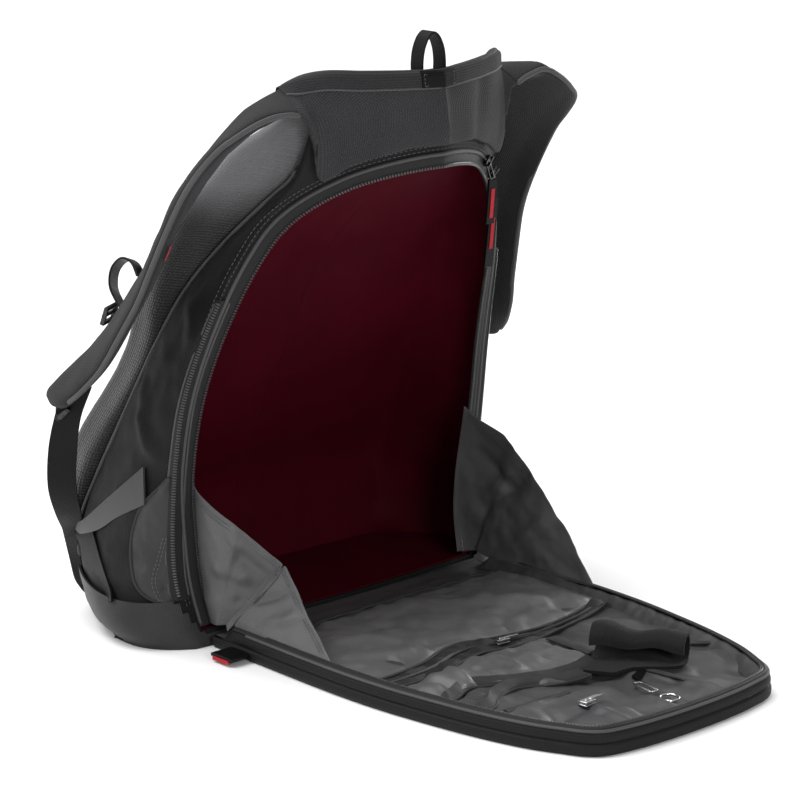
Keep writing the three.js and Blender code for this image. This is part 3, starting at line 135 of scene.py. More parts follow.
def table_at(rows, at):
    """Smooth values of a table's columns at a place in its first column."""
    last = len(rows) - 1
    after_row = next((i for i, row in enumerate(rows) if row[0] >= at), last)
    i = max(1, after_row)
    before, after = np.array(rows[i - 1], float), np.array(rows[i], float)
    span = after[0] - before[0]
    t = limited((at - before[0]) / span)
    here = (after - before) / span
    first, final = here, here
    if i > 1:
        first = ((before - rows[i - 2]) / (before[0] - rows[i - 2][0]) + here) / 2
    if i < last:
        final = ((np.array(rows[i + 1]) - after) / (rows[i + 1][0] - after[0]) + here) / 2
    bulk = before * (2 * t**3 - 3 * t**2 + 1) + after * (3 * t**2 - 2 * t**3)
    return (bulk + first * span * (t**3 - 2 * t**2 + t) + final * span * (t**3 - t**2))[1:]


@lru_cache(maxsize=None)
def body_section(z):
    """Front middle, front edge, side bulge and back edge of the bag's plan at one height."""
    lean, edge, crown, side, bend, back, deep = table_at(BODY_ROWS, limited(z / HEIGHT))
    front_y = -FRONT_LEAN * lean
    edge_x, edge_y = HALF_WIDTH * edge, front_y + 50 * crown
    back_x, back_y = HALF_WIDTH * back, edge_y + 128 * deep
    return front_y, edge_x, edge_y, back_x, back_y, SIDE_HALF_WIDTH * side, edge_y + (back_y - edge_y) * bend


def front_y_at(x, z):
    """Depth of the bag's front at a point of its front view."""
    front_y, edge_x, edge_y = body_section(z)[:3]
    share = abs(x) / edge_x
    if share > 1:
        return edge_y + abs(x) - edge_x
    return front_y + (edge_y - front_y) * share**1.3


FRONT_SHARE, SIDE_SHARE = 0.46, 0.83


def body_point(turn, z, inset=0.0):
    """Point of the bag's plan, from the back middle (-1) by the left and the front middle (0)."""
    front_y, edge_x, edge_y, back_x, back_y, side_x, side_y = body_section(round(z, 3))
    squeeze = inset + max(0, 13 - (back_y - edge_y)) * 0.8 if inset > 0 else inset
    hand = -1 if turn < 0 else 1
    t = abs(turn)
    limit = edge_x - squeeze
    corner = front_y + (edge_y - front_y) * max(0, limit / edge_x) ** 1.3 + inset
    end = np.array([back_x - max(squeeze, 0), back_y - inset])
    if t <= FRONT_SHARE:
        x = limit * t / FRONT_SHARE
        y = front_y + (edge_y - front_y) * (x / edge_x) ** 1.3 + inset
    elif t <= SIDE_SHARE:
        s = (t - FRONT_SHARE) / (SIDE_SHARE - FRONT_SHARE)
        start = np.array([limit, corner])
        bulge = 2 * np.array([side_x - squeeze, side_y]) - (start + end) / 2
        x, y = start * (1 - s) ** 2 + bulge * 2 * s * (1 - s) + end * s**2
    else:
        s = (t - SIDE_SHARE) / (1 - SIDE_SHARE)
        x, y = end[0] * (1 - s), end[1] + 4 * np.sin(np.pi / 2 * s)
    return np.array([hand * x, y, z])


def smooth_line(points, count):
    """Evenly spread points on a smooth line through a few points."""
    p = np.array(points, float)
    gaps = np.linalg.norm(np.diff(p, axis=0), axis=1)
    at = np.concatenate([[0], np.cumsum(np.sqrt(gaps))])
    slope = np.gradient(p, at, axis=0)
    fine = []
    for i in range(len(p) - 1):
        span = at[i + 1] - at[i]
        for t in np.linspace(0, 1, 24, endpoint=i == len(p) - 2):
            fine.append(
                p[i] * (2 * t**3 - 3 * t**2 + 1)
                + slope[i] * span * (t**3 - 2 * t**2 + t)
                + p[i + 1] * (3 * t**2 - 2 * t**3)
                + slope[i + 1] * span * (t**3 - t**2)
            )
    fine = np.array(fine)
    run = np.concatenate([[0], np.cumsum(np.linalg.norm(np.diff(fine, axis=0), axis=1))])
    want = np.linspace(0, run[-1], count)
    return np.stack([np.interp(want, run, fine[:, k]) for k in range(p.shape[1])], axis=1)


half_arch = [(OPENING_HALF_WIDTH * out, OPENING_TOP * up) for up, out in ARCH_ROWS]
half_arch[0] = (half_arch[0][0], SILL)
arch_line = smooth_line(half_arch + [(-x, z) for x, z in half_arch[-2::-1]], 480)
arch_run = np.gradient(arch_line, axis=0)
arch_out = np.stack([arch_run[:, 1], -arch_run[:, 0]], axis=1)
arch_out /= np.linalg.norm(arch_out, axis=1)[:, None]


def arch_place(share, outward, lift=0.0):
    """Point beside the opening's edge, from the right end of the sill over the top to the left."""
    at = share * (len(arch_line) - 1)
    i = min(int(at), len(arch_line) - 2)
    x, z = arch_line[i] + (arch_line[i + 1] - arch_line[i]) * (at - i) + arch_out[i] * outward
    return np.array([x, front_y_at(x, z) - lift, z])


def in_arch(x, z, grow):
    """True where a point of the front view lies in the opening, grown by a distance."""
    if z < SILL - grow or z > OPENING_TOP + grow:
        return False
    reach = np.interp(z, arch_line[:240, 1], arch_line[:240, 0])
    return abs(x) < reach + grow and z < OPENING_TOP + grow


def in_folds(points, folds):
    """How far each point is pushed along its normal by folds: from, to, depth, width in mm."""
    push = np.zeros(points.shape[:-1])
    for start, end, depth, width in folds:
        a, b = np.array(start, float), np.array(end, float)
        t = np.clip(((points - a) @ (b - a)) / ((b - a) @ (b - a)), 0, 1)
        off = np.linalg.norm(points - (a + t[..., None] * (b - a)), axis=-1)
        push += depth * np.exp(-((off / width) ** 2)) * (0.35 + 0.65 * np.sin(np.pi * (0.1 + 0.8 * t)))
    return push


def rumple(points, size, height, seed, stretch=(1, 1, 1)):
    """Soft uneven swelling of cloth, as a height for each point."""
    flat = (points * np.array(stretch) / size).reshape(-1, 3)
    shift = Vector((seed * 7.3, seed * 3.1, seed * 5.7))
    heights = [noise.noise(Vector(p) + shift) + 0.5 * noise.noise(Vector(p) * 2.1 + shift) for p in flat]
    return height * np.array(heights).reshape(points.shape[:-1])


def sheet_of(name, across, along, place, folds=(), rumples=(), loop=False, ends=None):
    """Sheet of squares set by place(share across, share along), with its lengths as a UV map."""
    bpy.ops.object.select_all(action="DESELECT")
    bpy.ops.mesh.primitive_grid_add(x_subdivisions=across, y_subdivisions=along, size=2, calc_uvs=True)
    piece = bpy.context.object
    piece.name = name
    piece.data.name = name
    count = len(piece.data.vertices)
    spread = np.empty(count * 3)
    piece.data.vertices.foreach_get("co", spread)
    spread = (spread.reshape(-1, 3)[:, :2] + 1) / 2
    order = np.lexsort((spread[:, 0], spread[:, 1]))
    columns = len(np.unique(spread[:, 0].round(5)))
    rows = count // columns
    shares = spread[order].reshape(rows, columns, 2)
    points = np.array([[place(u, v) for u, v in row] for row in shares], float)
    steps_u = np.linalg.norm(np.diff(points, axis=1), axis=2)
    steps_v = np.linalg.norm(np.diff(points, axis=0), axis=2)
    length_u = np.concatenate([np.zeros((rows, 1)), np.cumsum(steps_u, axis=1)], axis=1)
    length_v = np.concatenate([np.zeros((1, columns)), np.cumsum(steps_v, axis=0)], axis=0)
    length_u -= length_u[:, columns // 2 : columns // 2 + 1]
    if folds or rumples:
        run_u, run_v = np.gradient(points, axis=1), np.gradient(points, axis=0)
        normals = np.cross(run_u, run_v)
        normals /= np.linalg.norm(normals, axis=2)[..., None] + 1e-9
        push = in_folds(points, folds)
        for rumple_values in rumples:
            push = push + rumple(points, *rumple_values)
        if ends is not None:
            push = push * np.array([[ends(u, v) for u, v in row] for row in shares])
        points = points + normals * push[..., None]
    flat = np.empty((count, 3))
    flat[order] = ((points.reshape(-1, 3) + PLACE) / 1000)
    piece.data.vertices.foreach_set("co", flat.ravel())
    cloth_uv = np.empty((count, 2))
    cloth_uv[order] = np.stack([length_u, length_v], axis=2).reshape(-1, 2) / 1000
    corner_vertex = np.empty(len(piece.data.loops), int)
    piece.data.loops.foreach_get("vertex_index", corner_vertex)
    piece.data.uv_layers[0].name = "cloth"
    piece.data.uv_layers[0].data.foreach_set("uv", cloth_uv[corner_vertex].ravel())
    if loop:
        merge_edges(piece, 0.00004)
    piece.data.update()
    return piece


def pick(piece):
    """Selects one piece alone."""
    bpy.ops.object.select_all(action="DESELECT")
    piece.select_set(True)
    bpy.context.view_layer.objects.active = piece


def merge_edges(piece, distance=0.00001):
    """Closes a seam where two edges of a sheet meet."""
    pick(piece)
    bpy.ops.object.mode_set(mode="EDIT")
    bpy.ops.mesh.select_all(action="SELECT")
    bpy.ops.mesh.remove_doubles(threshold=distance)
    bpy.ops.mesh.normals_make_consistent(inside=False)
    bpy.ops.object.mode_set(mode="OBJECT")


def apply_all(piece):
    """Makes a piece's modifiers part of its mesh."""
    pick(piece)
    for modifier in list(piece.modifiers):
        bpy.ops.object.modifier_apply(modifier=modifier.name)


def wall(piece, thickness, side=-1.0, rounds=0):
    """Gives a sheet its thickness; side 0 thickens it both ways and closes its seams."""
    thick = piece.modifiers.new("wall", "SOLIDIFY")
    thick.thickness = thickness / 1000
    thick.offset = side
    thick.use_even_offset = False
    if rounds:
        soft = piece.modifiers.new("round", "SUBSURF")
        soft.levels = rounds
        soft.render_levels = rounds
    apply_all(piece)
    if side == 0:
        merge_edges(piece)


def settle(piece, finish, slot, *nodes, smooth=40):
    """Gives a piece its finish, smooth shading and place in the assembly."""
    piece.data.materials.clear()
    piece.data.materials.append(finish)
    pick(piece)
    bpy.ops.object.shade_smooth_by_angle(angle=np.radians(smooth))
    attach(piece, "root")
    if nodes:
        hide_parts(*nodes)


def add_node(tree, kind, values=(), links=(), **settings):
    """Shader node with its settings, the values of its inputs and what feeds them."""
    node = tree.nodes.new("ShaderNode" + kind)
    for key, value in settings.items():
        setattr(node, key, value)
    for key, value in dict(values).items():
        node.inputs[key].default_value = value
    for key, source in dict(links).items():
        tree.links.new(source, node.inputs[key])
    return node


def gloss_and_relief(tree, shader, uneven, low, high, height, strength, depth):
    """Roughness that wavers between two values, and a raised surface."""
    gloss = add_node(tree, "MapRange", {"To Min": low, "To Max": high}, {"Value": uneven})
    tree.links.new(gloss.outputs["Result"], shader.inputs["Roughness"])
    relief = add_node(tree, "Bump", {"Strength": strength, "Distance": depth}, {"Height": height})
    tree.links.new(relief.outputs["Normal"], shader.inputs["Normal"])


def cloth_finish(name, dark, light, pitch, rough, sheen, bump, slant=0.0, threads=0.6, wide=1.0, shine=0.2):
    """Woven cloth: two crossing sets of threads, uneven dye, fine fibres and a soft sheen."""
    material, tree, shader = new_finish(
        name, {"Sheen Weight": sheen, "Sheen Roughness": 0.5, "Specular IOR Level": shine}
    )
    uv = add_node(tree, "UVMap", uv_map="cloth")
    turn = add_node(tree, "Mapping", {"Rotation": (0, 0, slant)}, {"Vector": uv.outputs["UV"]})
    across, along = (
        add_node(
            tree, "TexWave",
            {"Scale": 0.314 / (size / 1000), "Distortion": 0.6, "Detail": 1, "Detail Scale": 1.5},
            {"Vector": turn.outputs["Vector"]}, bands_direction=direction, wave_profile="SIN",
        ).outputs["Fac"]
        for direction, size in (("X", pitch), ("Y", pitch * wide))
    )
    weave = add_node(tree, "Math", {}, {0: across, 1: along}, operation="MULTIPLY").outputs["Value"]
    place = add_node(tree, "TexCoord").outputs["Object"]
    patches = add_node(tree, "TexNoise", {"Scale": 14, "Detail": 3}, {"Vector": place}).outputs["Fac"]
    fibres = add_node(tree, "TexNoise", {"Scale": 900, "Detail": 2}, {"Vector": place}).outputs["Fac"]

    def summed(share, source, base):
        """Share of one value on top of another."""
        links = {0: source, 2: base}
        return add_node(tree, "Math", {1: share}, links, operation="MULTIPLY_ADD").outputs["Value"]

    half_patch = add_node(tree, "Math", {1: 0.5}, {0: patches}, operation="MULTIPLY").outputs["Value"]
    grain = summed(0.3, fibres, summed(threads, weave, half_patch))
    dye = add_node(tree, "Mix", {"A": (*dark, 1), "B": (*light, 1)}, {"Factor": grain}, data_type="RGBA")
    tree.links.new(dye.outputs["Result"], shader.inputs["Base Color"])
    height = summed(0.4, fibres, weave)
    gloss_and_relief(tree, shader, patches, rough - 0.08, min(1, rough + 0.1), height, bump, 0.0006)
    return material


ballistic = cloth_finish(
    "ballistic_nylon", (0.0018, 0.0018, 0.0022), (0.011, 0.011, 0.0118), 1.7, 0.55, 0.0, 0.5, shine=0.16
)
BODY_FOLDS = [
    ((-196, 10, 60), (-186, -40, 130), 3.5, 9),
    ((-190, 40, 190), (-182, -30, 150), -3, 10),
    ((-150, 30, 330), (-172, -20, 240), 3, 12),
    ((-186, -10, 210), (-170, -50, 290), -3.5, 11),
    ((-178, -50, 90), (-190, 20, 30), -3, 8),
    ((-159, 4, 267), (-171, 38, 204), -3, 9),
    ((-150, 60, 235), (-165, 52, 190), 5, 9),
    ((-172, 51, 185), (-177, 24, 160), 5, 7),
    ((-168, 14, 230), (-172, 4, 170), -2.5, 7),
    ((196, 10, 60), (186, -40, 130), 3.5, 9),
    ((159, 4, 267), (171, 38, 204), -2, 9),
    ((172, 51, 185), (177, 24, 160), 5, 7),
    ((190, 40, 190), (182, -30, 150), -3, 10),
    ((150, 30, 330), (172, -20, 240), 3, 12),
    ((186, -10, 210), (170, -50, 290), -3.5, 11),
]
BODY_LOW, BODY_TOP = 3.0, 469.0


def plan_turn(u):
    """Place round the plan for a share across, kept just short of the back's middle."""
    return min(0.9999, max(-0.9999, 2 * u - 1))


def shell_place(u, v):
    turn = plan_turn(u)
    lid = 0.03
    if v < lid:
        point = body_point(turn, BODY_LOW)
        middle = np.array([point[0], (body_section(BODY_LOW)[0] + body_section(BODY_LOW)[4]) / 2, BODY_LOW])
        return middle + (point - middle) * (v / lid)
    if v > 1 - lid:
        point = body_point(turn, BODY_TOP)
        middle = np.array([point[0], body_section(BODY_TOP)[4] - 2 - 0.1 * (92 - abs(point[0])), BODY_TOP + 1])
        return middle + (point - middle) * ((1 - v) / lid)
    return body_point(turn, BODY_LOW + (BODY_TOP - BODY_LOW) * (v - lid) / (1 - 2 * lid))


def off_rims(u, v):
    """No swelling near the opening's edge, the top, the base or the back."""
    turn = abs(2 * u - 1)
    ease = limited((turn - FRONT_SHARE * 0.93) / 0.06) * limited((0.86 - turn) / 0.05)
    return ease * limited((v - 0.09) / 0.05) * limited((0.9 - v) / 0.1)


body = sheet_of(
    "body_cloth", 180, 122, shell_place,
    folds=BODY_FOLDS, rumples=[(46, 2.6, 3), (17, 0.9, 5)], ends=off_rims,
)


def delete_faces(piece, chosen):
    """Takes out the faces whose middles, in mm, are chosen."""
    pick(piece)
    bpy.ops.object.mode_set(mode="EDIT")
    bpy.ops.mesh.select_mode(type="FACE")
    bpy.ops.mesh.select_all(action="DESELECT")
    bpy.ops.object.mode_set(mode="OBJECT")
    for polygon in piece.data.polygons:
        polygon.select = bool(chosen(np.array(polygon.center) * 1000 - PLACE))
    bpy.ops.object.mode_set(mode="EDIT")
    bpy.ops.mesh.delete(type="FACE")
    bpy.ops.mesh.select_mode(type="VERT")
    bpy.ops.object.mode_set(mode="OBJECT")


def cut_opening(piece, grow):
    """Takes the opening out of a sheet's front and draws the cut edge onto the arch."""
    delete_faces(piece, lambda p: in_arch(p[0], p[2], grow) and p[1] < front_y_at(p[0], p[2]) + 14)
    mesh = piece.data
    faces_at_edge = {}
    for polygon in mesh.polygons:
        for key in polygon.edge_keys:
            faces_at_edge[key] = faces_at_edge.get(key, 0) + 1
    rim = {i for key, faces in faces_at_edge.items() if faces == 1 for i in key}
    outline = arch_line + arch_out * grow
    for i in rim:
        x, y, z = np.array(mesh.vertices[i].co) * 1000 - PLACE
        off = np.linalg.norm(outline - (x, z), axis=1)
        near = int(off.argmin())
        if off[near] < 9 and z > 14:
            nx, nz = outline[near]
            depth = y - front_y_at(x, z)
            mesh.vertices[i].co = Vector((np.array([nx, front_y_at(nx, nz) + depth, nz]) + PLACE) / 1000)
    mesh.update()


cut_opening(body, 4)
merge_edges(body, 0.0001)
wall(body, 2.6, -1)
settle(body, ballistic, "ballistic_nylon", "body_shell")

# Body lining
# A loose inner bag of dark red nylon, sewn in along the opening. It hangs a little off the
# shell and shows soft vertical wrinkles where the bag narrows to its top.
red_nylon = cloth_finish(
    "red_lining", (0.016, 0.0002, 0.0014), (0.07, 0.001, 0.008), 1.2, 0.7, 0.0, 0.2, shine=0.06
)


LINING_LOW, LINING_TOP, LINING_GAP = 6.5, 464, 5


def lining_place(u, v):
    turn = plan_turn(u)
    lid = 0.06
    if v < lid:
        point = body_point(turn, LINING_LOW, LINING_GAP)
        low = body_section(LINING_LOW)
        middle = np.array([point[0], (low[0] + low[4]) / 2, LINING_LOW])
        return middle + (point - middle) * (v / lid)
    if v > 1 - lid:
        point = body_point(turn, LINING_TOP, LINING_GAP)
        middle = np.array([point[0], body_section(LINING_TOP)[4] - 6, LINING_TOP])
        return middle + (point - middle) * ((1 - v) / lid)
    z = LINING_LOW + (LINING_TOP - LINING_LOW) * (v - lid) / (1 - 2 * lid)
    return body_point(turn, z, LINING_GAP)


def lining_ease(u, v):
    turn = abs(2 * u - 1)
    return limited((turn - FRONT_SHARE) / 0.1) * limited((v - 0.1) / 0.08) * limited((0.86 - v) / 0.1)


lining = sheet_of(
    "lining_cloth", 120, 84, lining_place,
    rumples=[(60, -3, 9, (1, 1, 0.35)), (22, -1.2, 4, (1, 1, 0.5))], ends=lining_ease,
)
cut_opening(lining, 0.5)
merge_edges(lining, 0.0001)
wall(lining, 1.0, -1)
settle(lining, red_nylon, "lining_fabric", "body_lining")

# Base panel
# A low tray of coated black cloth round the foot of the bag, open at the hinge, folded over
# and double stitched to the shell. It takes the wear of the floor.
base_cloth = cloth_finish(
    "base_fabric", (0.005, 0.005, 0.0055), (0.024, 0.024, 0.025), 1.5, 0.45, 0.02, 0.4, shine=0.3
)
BASE_TOP = 40


def tray_place(u, v):
    turn = plan_turn(u)
    share = min(1, v / 0.55)
    if v < 0.55:
        rim = body_point(turn, 3, -3)
        middle = np.array([rim[0], 60, 1.2])
        point = middle + (rim - middle) * share
        point[2] = 1.2
        return point
    z = 1.2 + (BASE_TOP - 1.2) * (v - 0.55) / 0.45
    point = body_point(turn, max(3, z), -3)
    point[2] = z
    return point


tray = sheet_of(
    "base_cloth", 160, 40, tray_place,
    rumples=[(30, 1.0, 12)], ends=lambda u, v: 1 if 0.68 < v < 0.95 else 0,
)


def tray_top(x):
    """The tray's upper edge runs down to the hinge at both corners."""
    share = limited((abs(x) - 150) / 30)
    return 9 + 32 * share**2 * (3 - 2 * share)


delete_faces(tray, lambda p: p[1] < 34 and p[2] > tray_top(p[0]))
merge_edges(tray, 0.0001)
wall(tray, 1.8, 1)
settle(tray, base_cloth, "base_fabric", "base_panel")

# Back pad
# Thick foam behind ribbed air mesh. Two wings rise beside the wearer's shoulder blades and
# stand off the shell high up, so a grey edge of mesh shows beside the straps.
PAD_ROWS = [
    (0.155, 0.3, 0.1), (0.19, 0.72, 0.12), (0.25, 0.95, 0.13), (0.33, 1.02, 0.12), (0.4, 1.02, 0.06),
    (0.5, 1, 0.03), (0.58, 1, 0.16), (0.66, 1, 0.34), (0.72, 0.95, 0.48), (0.8, 0.8, 0.7),
    (0.87, 0.62, 0.66), (0.93, 0.45, 0.3), (0.97, 0.3, 0),
]


@lru_cache(maxsize=None)
def pad_ring(up):
    """Closed ring round the pad at one height, from the left edge over the rear to the right."""
    thick_share, wing = table_at(PAD_ROWS, up)
    z = up * HEIGHT
    back_x, back_y = body_section(round(z, 3))[3:5]
    thick, out, back = 42 * thick_share, 52 * wing, 68 * wing
    edge = max(1, thick - 5 * (1 - wing) - (thick - 5) * wing * 0.8)
    rear = back_y + 4 + thick
    half = [
        (back_x - 1 + out, back_y + 1 + back),
        (back_x - 2 + out, back_y + 1 + back + edge * 0.6),
        (back_x - 5 + out * 0.97, back_y + 1 + back + edge),
        (back_x * 0.72, rear), (back_x * 0.36, rear + 1), (back_x * 0.1, rear - 3),
    ]
    ring = half + [(-x, y) for x, y in half[::-1]]
    inner = [(-back_x * 0.9, back_y + 3.4), (0, back_y + 6), (back_x * 0.9, back_y + 3.4)]
    return smooth_line(ring + inner + ring[:1], 141)


def pad_place(u, v):
    up = 0.16 + 0.81 * v
    ring = pad_ring(round(up, 5))
    at = u * (len(ring) - 1)
    i = min(int(at), len(ring) - 2)
    x, y = ring[i] + (ring[i + 1] - ring[i]) * (at - i)
    if v < 0.02 or v > 0.98:
        y = y + (body_section(round(up * HEIGHT, 3))[4] + 3 - y) * 0.8
    rear = limited((y - body_section(round(up * HEIGHT, 3))[4] - 12) / 10)
    groove = 7 * np.exp(-((x / 9) ** 2)) + 5 * np.exp(-(((abs(x) - 84) / 8) ** 2))
    level = 4 * np.exp(-(((up - 0.4) / 0.016) ** 2)) + 4 * np.exp(-(((up - 0.6) / 0.016) ** 2))
    groove += level * limited((126 - abs(x)) / 26)
    return np.array([x, y - groove * rear, up * HEIGHT])


def mesh_finish(name, dark, light, cell):
    """Air mesh: a net of thread over a dark ground, with painted light on the top of the pad and painted shade on
    the sides of its wings.
    """
    material = cloth_finish(name, dark, light, cell * 0.8, 0.6, 0.3, 0.5, wide=2.2)
    tree = material.node_tree
    found = {node.bl_idname: node for node in tree.nodes}
    cells = add_node(
        tree, "TexVoronoi", {"Scale": 1000 / cell, "Randomness": 0.25},
        {"Vector": found["ShaderNodeUVMap"].outputs["UV"]}, feature="F1",
    )

    def band(source, start, end):
        limits = {"From Min": start, "From Max": end}
        return add_node(tree, "MapRange", limits, {"Value": source}).outputs["Result"]

    holes = band(cells.outputs["Distance"], 0.15, 0.5)
    net = add_node(
        tree, "Mix", {"A": (dark[0] * 0.5, dark[1] * 0.5, dark[2] * 0.5, 1)},
        {"B": found["ShaderNodeMix"].outputs["Result"], "Factor": holes}, data_type="RGBA",
    )
    place = add_node(tree, "TexCoord").outputs["Object"]
    axes = add_node(tree, "SeparateXYZ", {}, {"Vector": place}).outputs
    # Painted light: a grey is added to the mesh above about 0.35 m, standing in for the light that falls on the
    # top of the pad.
    upper = add_node(
        tree, "Mix", {"B": (0.085, 0.085, 0.088, 1)},
        {"Factor": band(axes["Z"], 0.35, 0.385), "A": net.outputs["Result"]},
        data_type="RGBA", blend_type="ADD",
    )
    # Painted shade: past 0.135 m from the middle and between about 0.2 and 0.36 m high, the wing sides are
    # darkened to near black, standing in for the shade between the straps and the body.
    far_out = add_node(tree, "Math", {}, {0: axes["X"]}, operation="ABSOLUTE").outputs["Value"]
    shade = band(far_out, 0.135, 0.15)
    for share in (band(axes["Z"], 0.2, 0.27), band(axes["Z"], 0.375, 0.35)):
        shade = add_node(tree, "Math", {}, {0: shade, 1: share}, operation="MULTIPLY").outputs["Value"]
    painted_shade_sides = add_node(
        tree, "Mix", {"B": (0.003, 0.003, 0.0034, 1)},
        {"Factor": shade, "A": upper.outputs["Result"]}, data_type="RGBA",
    )
    tree.links.new(painted_shade_sides.outputs["Result"], found["ShaderNodeBsdfPrincipled"].inputs["Base Color"])
    found["ShaderNodeBump"].inputs["Distance"].default_value = 0.0012
    tree.links.new(holes, found["ShaderNodeBump"].inputs["Height"])
    return material


air_mesh = mesh_finish("air_mesh", (0.006, 0.006, 0.0065), (0.03, 0.03, 0.032), 3.0)
pad = sheet_of("back_pad_mesh", 140, 100, pad_place, rumples=[(40, 1.0, 21)], loop=True)
settle(pad, air_mesh, "air_mesh", "back_pad", smooth=70)

# Yoke and shoulder straps
# One arch of firm padding, covered in dense dark grey cloth. The yoke wraps the top of the bag
# and is seamed in the middle, and the straps run on from it down to their webbing.
STRAP_ROWS = [
    (0, 0, -131, 416, 0, -122, 472), (1, 36, -121, 415, 37, -115, 474), (2, 72, -103, 405, 70, -105, 476),
    (3, 97, -90, 394, 91, -92, 477), (4, 103, -90, 425, 103, -76, 473), (5, 115, -90, 446, 112, -61, 464),
    (6, 138, -91, 450, 124, -49, 454), (7, 160, -92, 447, 139, -43, 441), (8, 180, -90, 439, 152, -39, 425),
    (9, 197, -82, 426, 162, -31, 406), (10, 206, -60, 398, 167, -12, 380), (11, 207, -35, 362, 168, 12, 350),
    (12, 207, -15, 330, 169, 32, 318), (13, 210, 2, 297, 174, 49, 292), (14, 216, 20, 266, 182, 67, 266),
    (15, 221, 38, 238, 192, 86, 242), (16, 225, 58, 218, 203, 104, 222), (17, 226, 77, 204, 212, 114, 208),
]
SWING_ROWS = [(0.22, 0), (0.28, 0.62), (0.42, 1), (0.56, 0.7), (0.7, 0.32), (0.85, 0)]
NARROW_ROWS = [(0.4, 0), (0.5, 0.55), (0.84, 0.55), (0.93, 0)]
MIRROR = np.array([-1, 1, 1])


def swing(point):
    """The right strap hangs further forward than the left one, and its arm edge is drawn in."""
    up = min(0.85, max(0.22, point[2] / HEIGHT))
    narrow = table_at(NARROW_ROWS, min(0.93, max(0.4, point[2] / HEIGHT)))[0]
    lift = 9 * max(0, 1 - abs(point[0] - 150) / 36) * limited((point[2] - 400) / 30)
    return point - np.array([max(0, point[0] - 180) * narrow, 50 * table_at(SWING_ROWS, up)[0], -lift])


def strap_edges(at):
    values = table_at(STRAP_ROWS, at)
    return values[:3], values[3:]


def band_frame(edges, at, step=0.05, low=0.0, high=17.0):
    """Edge points and outward normal of a band at a place along it."""
    a, b = edges(at)
    before, after = edges(max(low, at - step)), edges(min(high, at + step))
    run = (after[0] + after[1] - before[0] - before[1]) / 2
    run /= np.linalg.norm(run)
    width = b - a
    normal = np.cross(run, width)
    return a, b, normal / np.linalg.norm(normal), run


def padded_section(u, flatness):
    """Share across and height, from -1 to 1, of a flat closed section with round edges."""
    angle = 2 * np.pi * u
    across = 0.5 - 0.5 * np.sign(np.cos(angle)) * abs(np.cos(angle)) ** 0.8
    return across, np.sign(np.sin(angle)) * abs(np.sin(angle)) ** flatness


def padded_place(edges, low, high, thickness, tip, point_at):
    """Closed padded section carried along a band; tip is the share that its rounded end takes."""
    def place(u, v):
        at = low + (high - low) * min(1, v / (1 - tip))
        a, b, normal, run = band_frame(edges, at, high=high, low=low)
        past = max(0, v - (1 - tip)) / tip
        narrow = np.sqrt(max(0, 1 - past**2))
        across, lift = padded_section(u, 0.5)
        across = 0.5 + (across - 0.5) * (0.25 + 0.75 * narrow)
        thin = 1 - 0.43 * max(0, 1 - (at - low) / 1.6)
        half = lift * thickness / 2 * thin * (0.2 + 0.8 * narrow)
        return point_at(a + (b - a) * across + normal * half + run * 13 * past)
    return place


yoke_cloth = cloth_finish(
    "yoke_weave", (0.007, 0.007, 0.0076), (0.05, 0.05, 0.053), 2.0, 0.85, 0.05, 0.9, slant=0.6, shine=0.12
)
YOKE_FOLDS = [
    ((0, -140, 410), (0, -125, 478), -3.2, 3.5),
    ((46, -122, 420), (60, -112, 470), 2.2, 10),
    ((-60, -112, 424), (-50, -112, 474), 2.0, 10),
    ((100, -95, 400), (106, -86, 470), -2.4, 8),
    ((-100, -95, 400), (-106, -86, 470), -2.4, 8),
]


def yoke_edges(at):
    a, b = strap_edges(abs(at))
    if at >= 0:
        return a, b
    return a * MIRROR, b * MIRROR


def yoke_place(u, v):
    at = -5.25 + 10.5 * v
    a, b, normal, run = band_frame(yoke_edges, at, step=0.3, low=-5.6, high=5.6)
    across, lift = padded_section(u, 0.45)
    return a + (b - a) * across + normal * lift * 4


yoke = sheet_of("yoke_pad", 48, 120, yoke_place, folds=YOKE_FOLDS, rumples=[(34, 1.1, 31)], loop=True)
settle(yoke, yoke_cloth, "yoke_weave", "yoke", smooth=60)
as_left = lambda p: p * MIRROR
as_right = swing
strap_cloth = cloth_finish(
    "strap_weave", (0.005, 0.005, 0.0056), (0.034, 0.034, 0.036), 2.0, 0.8, 0.05, 0.7, shine=0.15
)
for hand, point_at, seed in (("right", as_right, 41), ("left", as_left, 43)):
    strap = sheet_of(
        "strap_pad_" + hand, 40, 150, padded_place(strap_edges, 5.1, 17, 14, 0.03, point_at),
        rumples=[(38, 1.2, seed)], loop=True,
    )
    settle(strap, strap_cloth, "yoke_weave", "shoulder_strap_" + hand, smooth=60)


# Piping and neckline binding
# Round cord piping in grosgrain runs down the arm edge of each strap, and a thicker folded
# binding closes the neck edge of the yoke.


def cord_place(line, radius):
    """Round section carried along a line of points."""
    run = np.gradient(line, axis=0)
    run /= np.linalg.norm(run, axis=1)[:, None]
    side = [np.cross(run[0], (0.3, 0.2, 1))]
    side[0] = side[0] / np.linalg.norm(side[0])
    for direction in run[1:]:
        kept = side[-1] - direction * (side[-1] @ direction)
        side.append(kept / np.linalg.norm(kept))

    def place(u, v):
        i = int(round(v * (len(line) - 1)))
        other = np.cross(run[i], side[i])
        angle = 2 * np.pi * u
        small = 0.15 if i in (0, len(line) - 1) else 1
        return line[i] + small * radius * (side[i] * np.cos(angle) + other * np.sin(angle))
    return place


def cord(name, line, radius, finish, *nodes, sides=8):
    """Round cord or piping along a line."""
    piece = sheet_of(name, sides, len(line) - 1, cord_place(line, radius), loop=True)
    settle(piece, finish, "binding", *nodes, smooth=80)


def sewn(name, across, along, place, thickness, side, finish, slot, *nodes, smooth=40, **shape):
    """Sheet with its wall and its finish, put in its place in the assembly."""
    piece = sheet_of(name, across, along, place, **shape)
    wall(piece, thickness, side)
    settle(piece, finish, slot, *nodes, smooth=smooth)


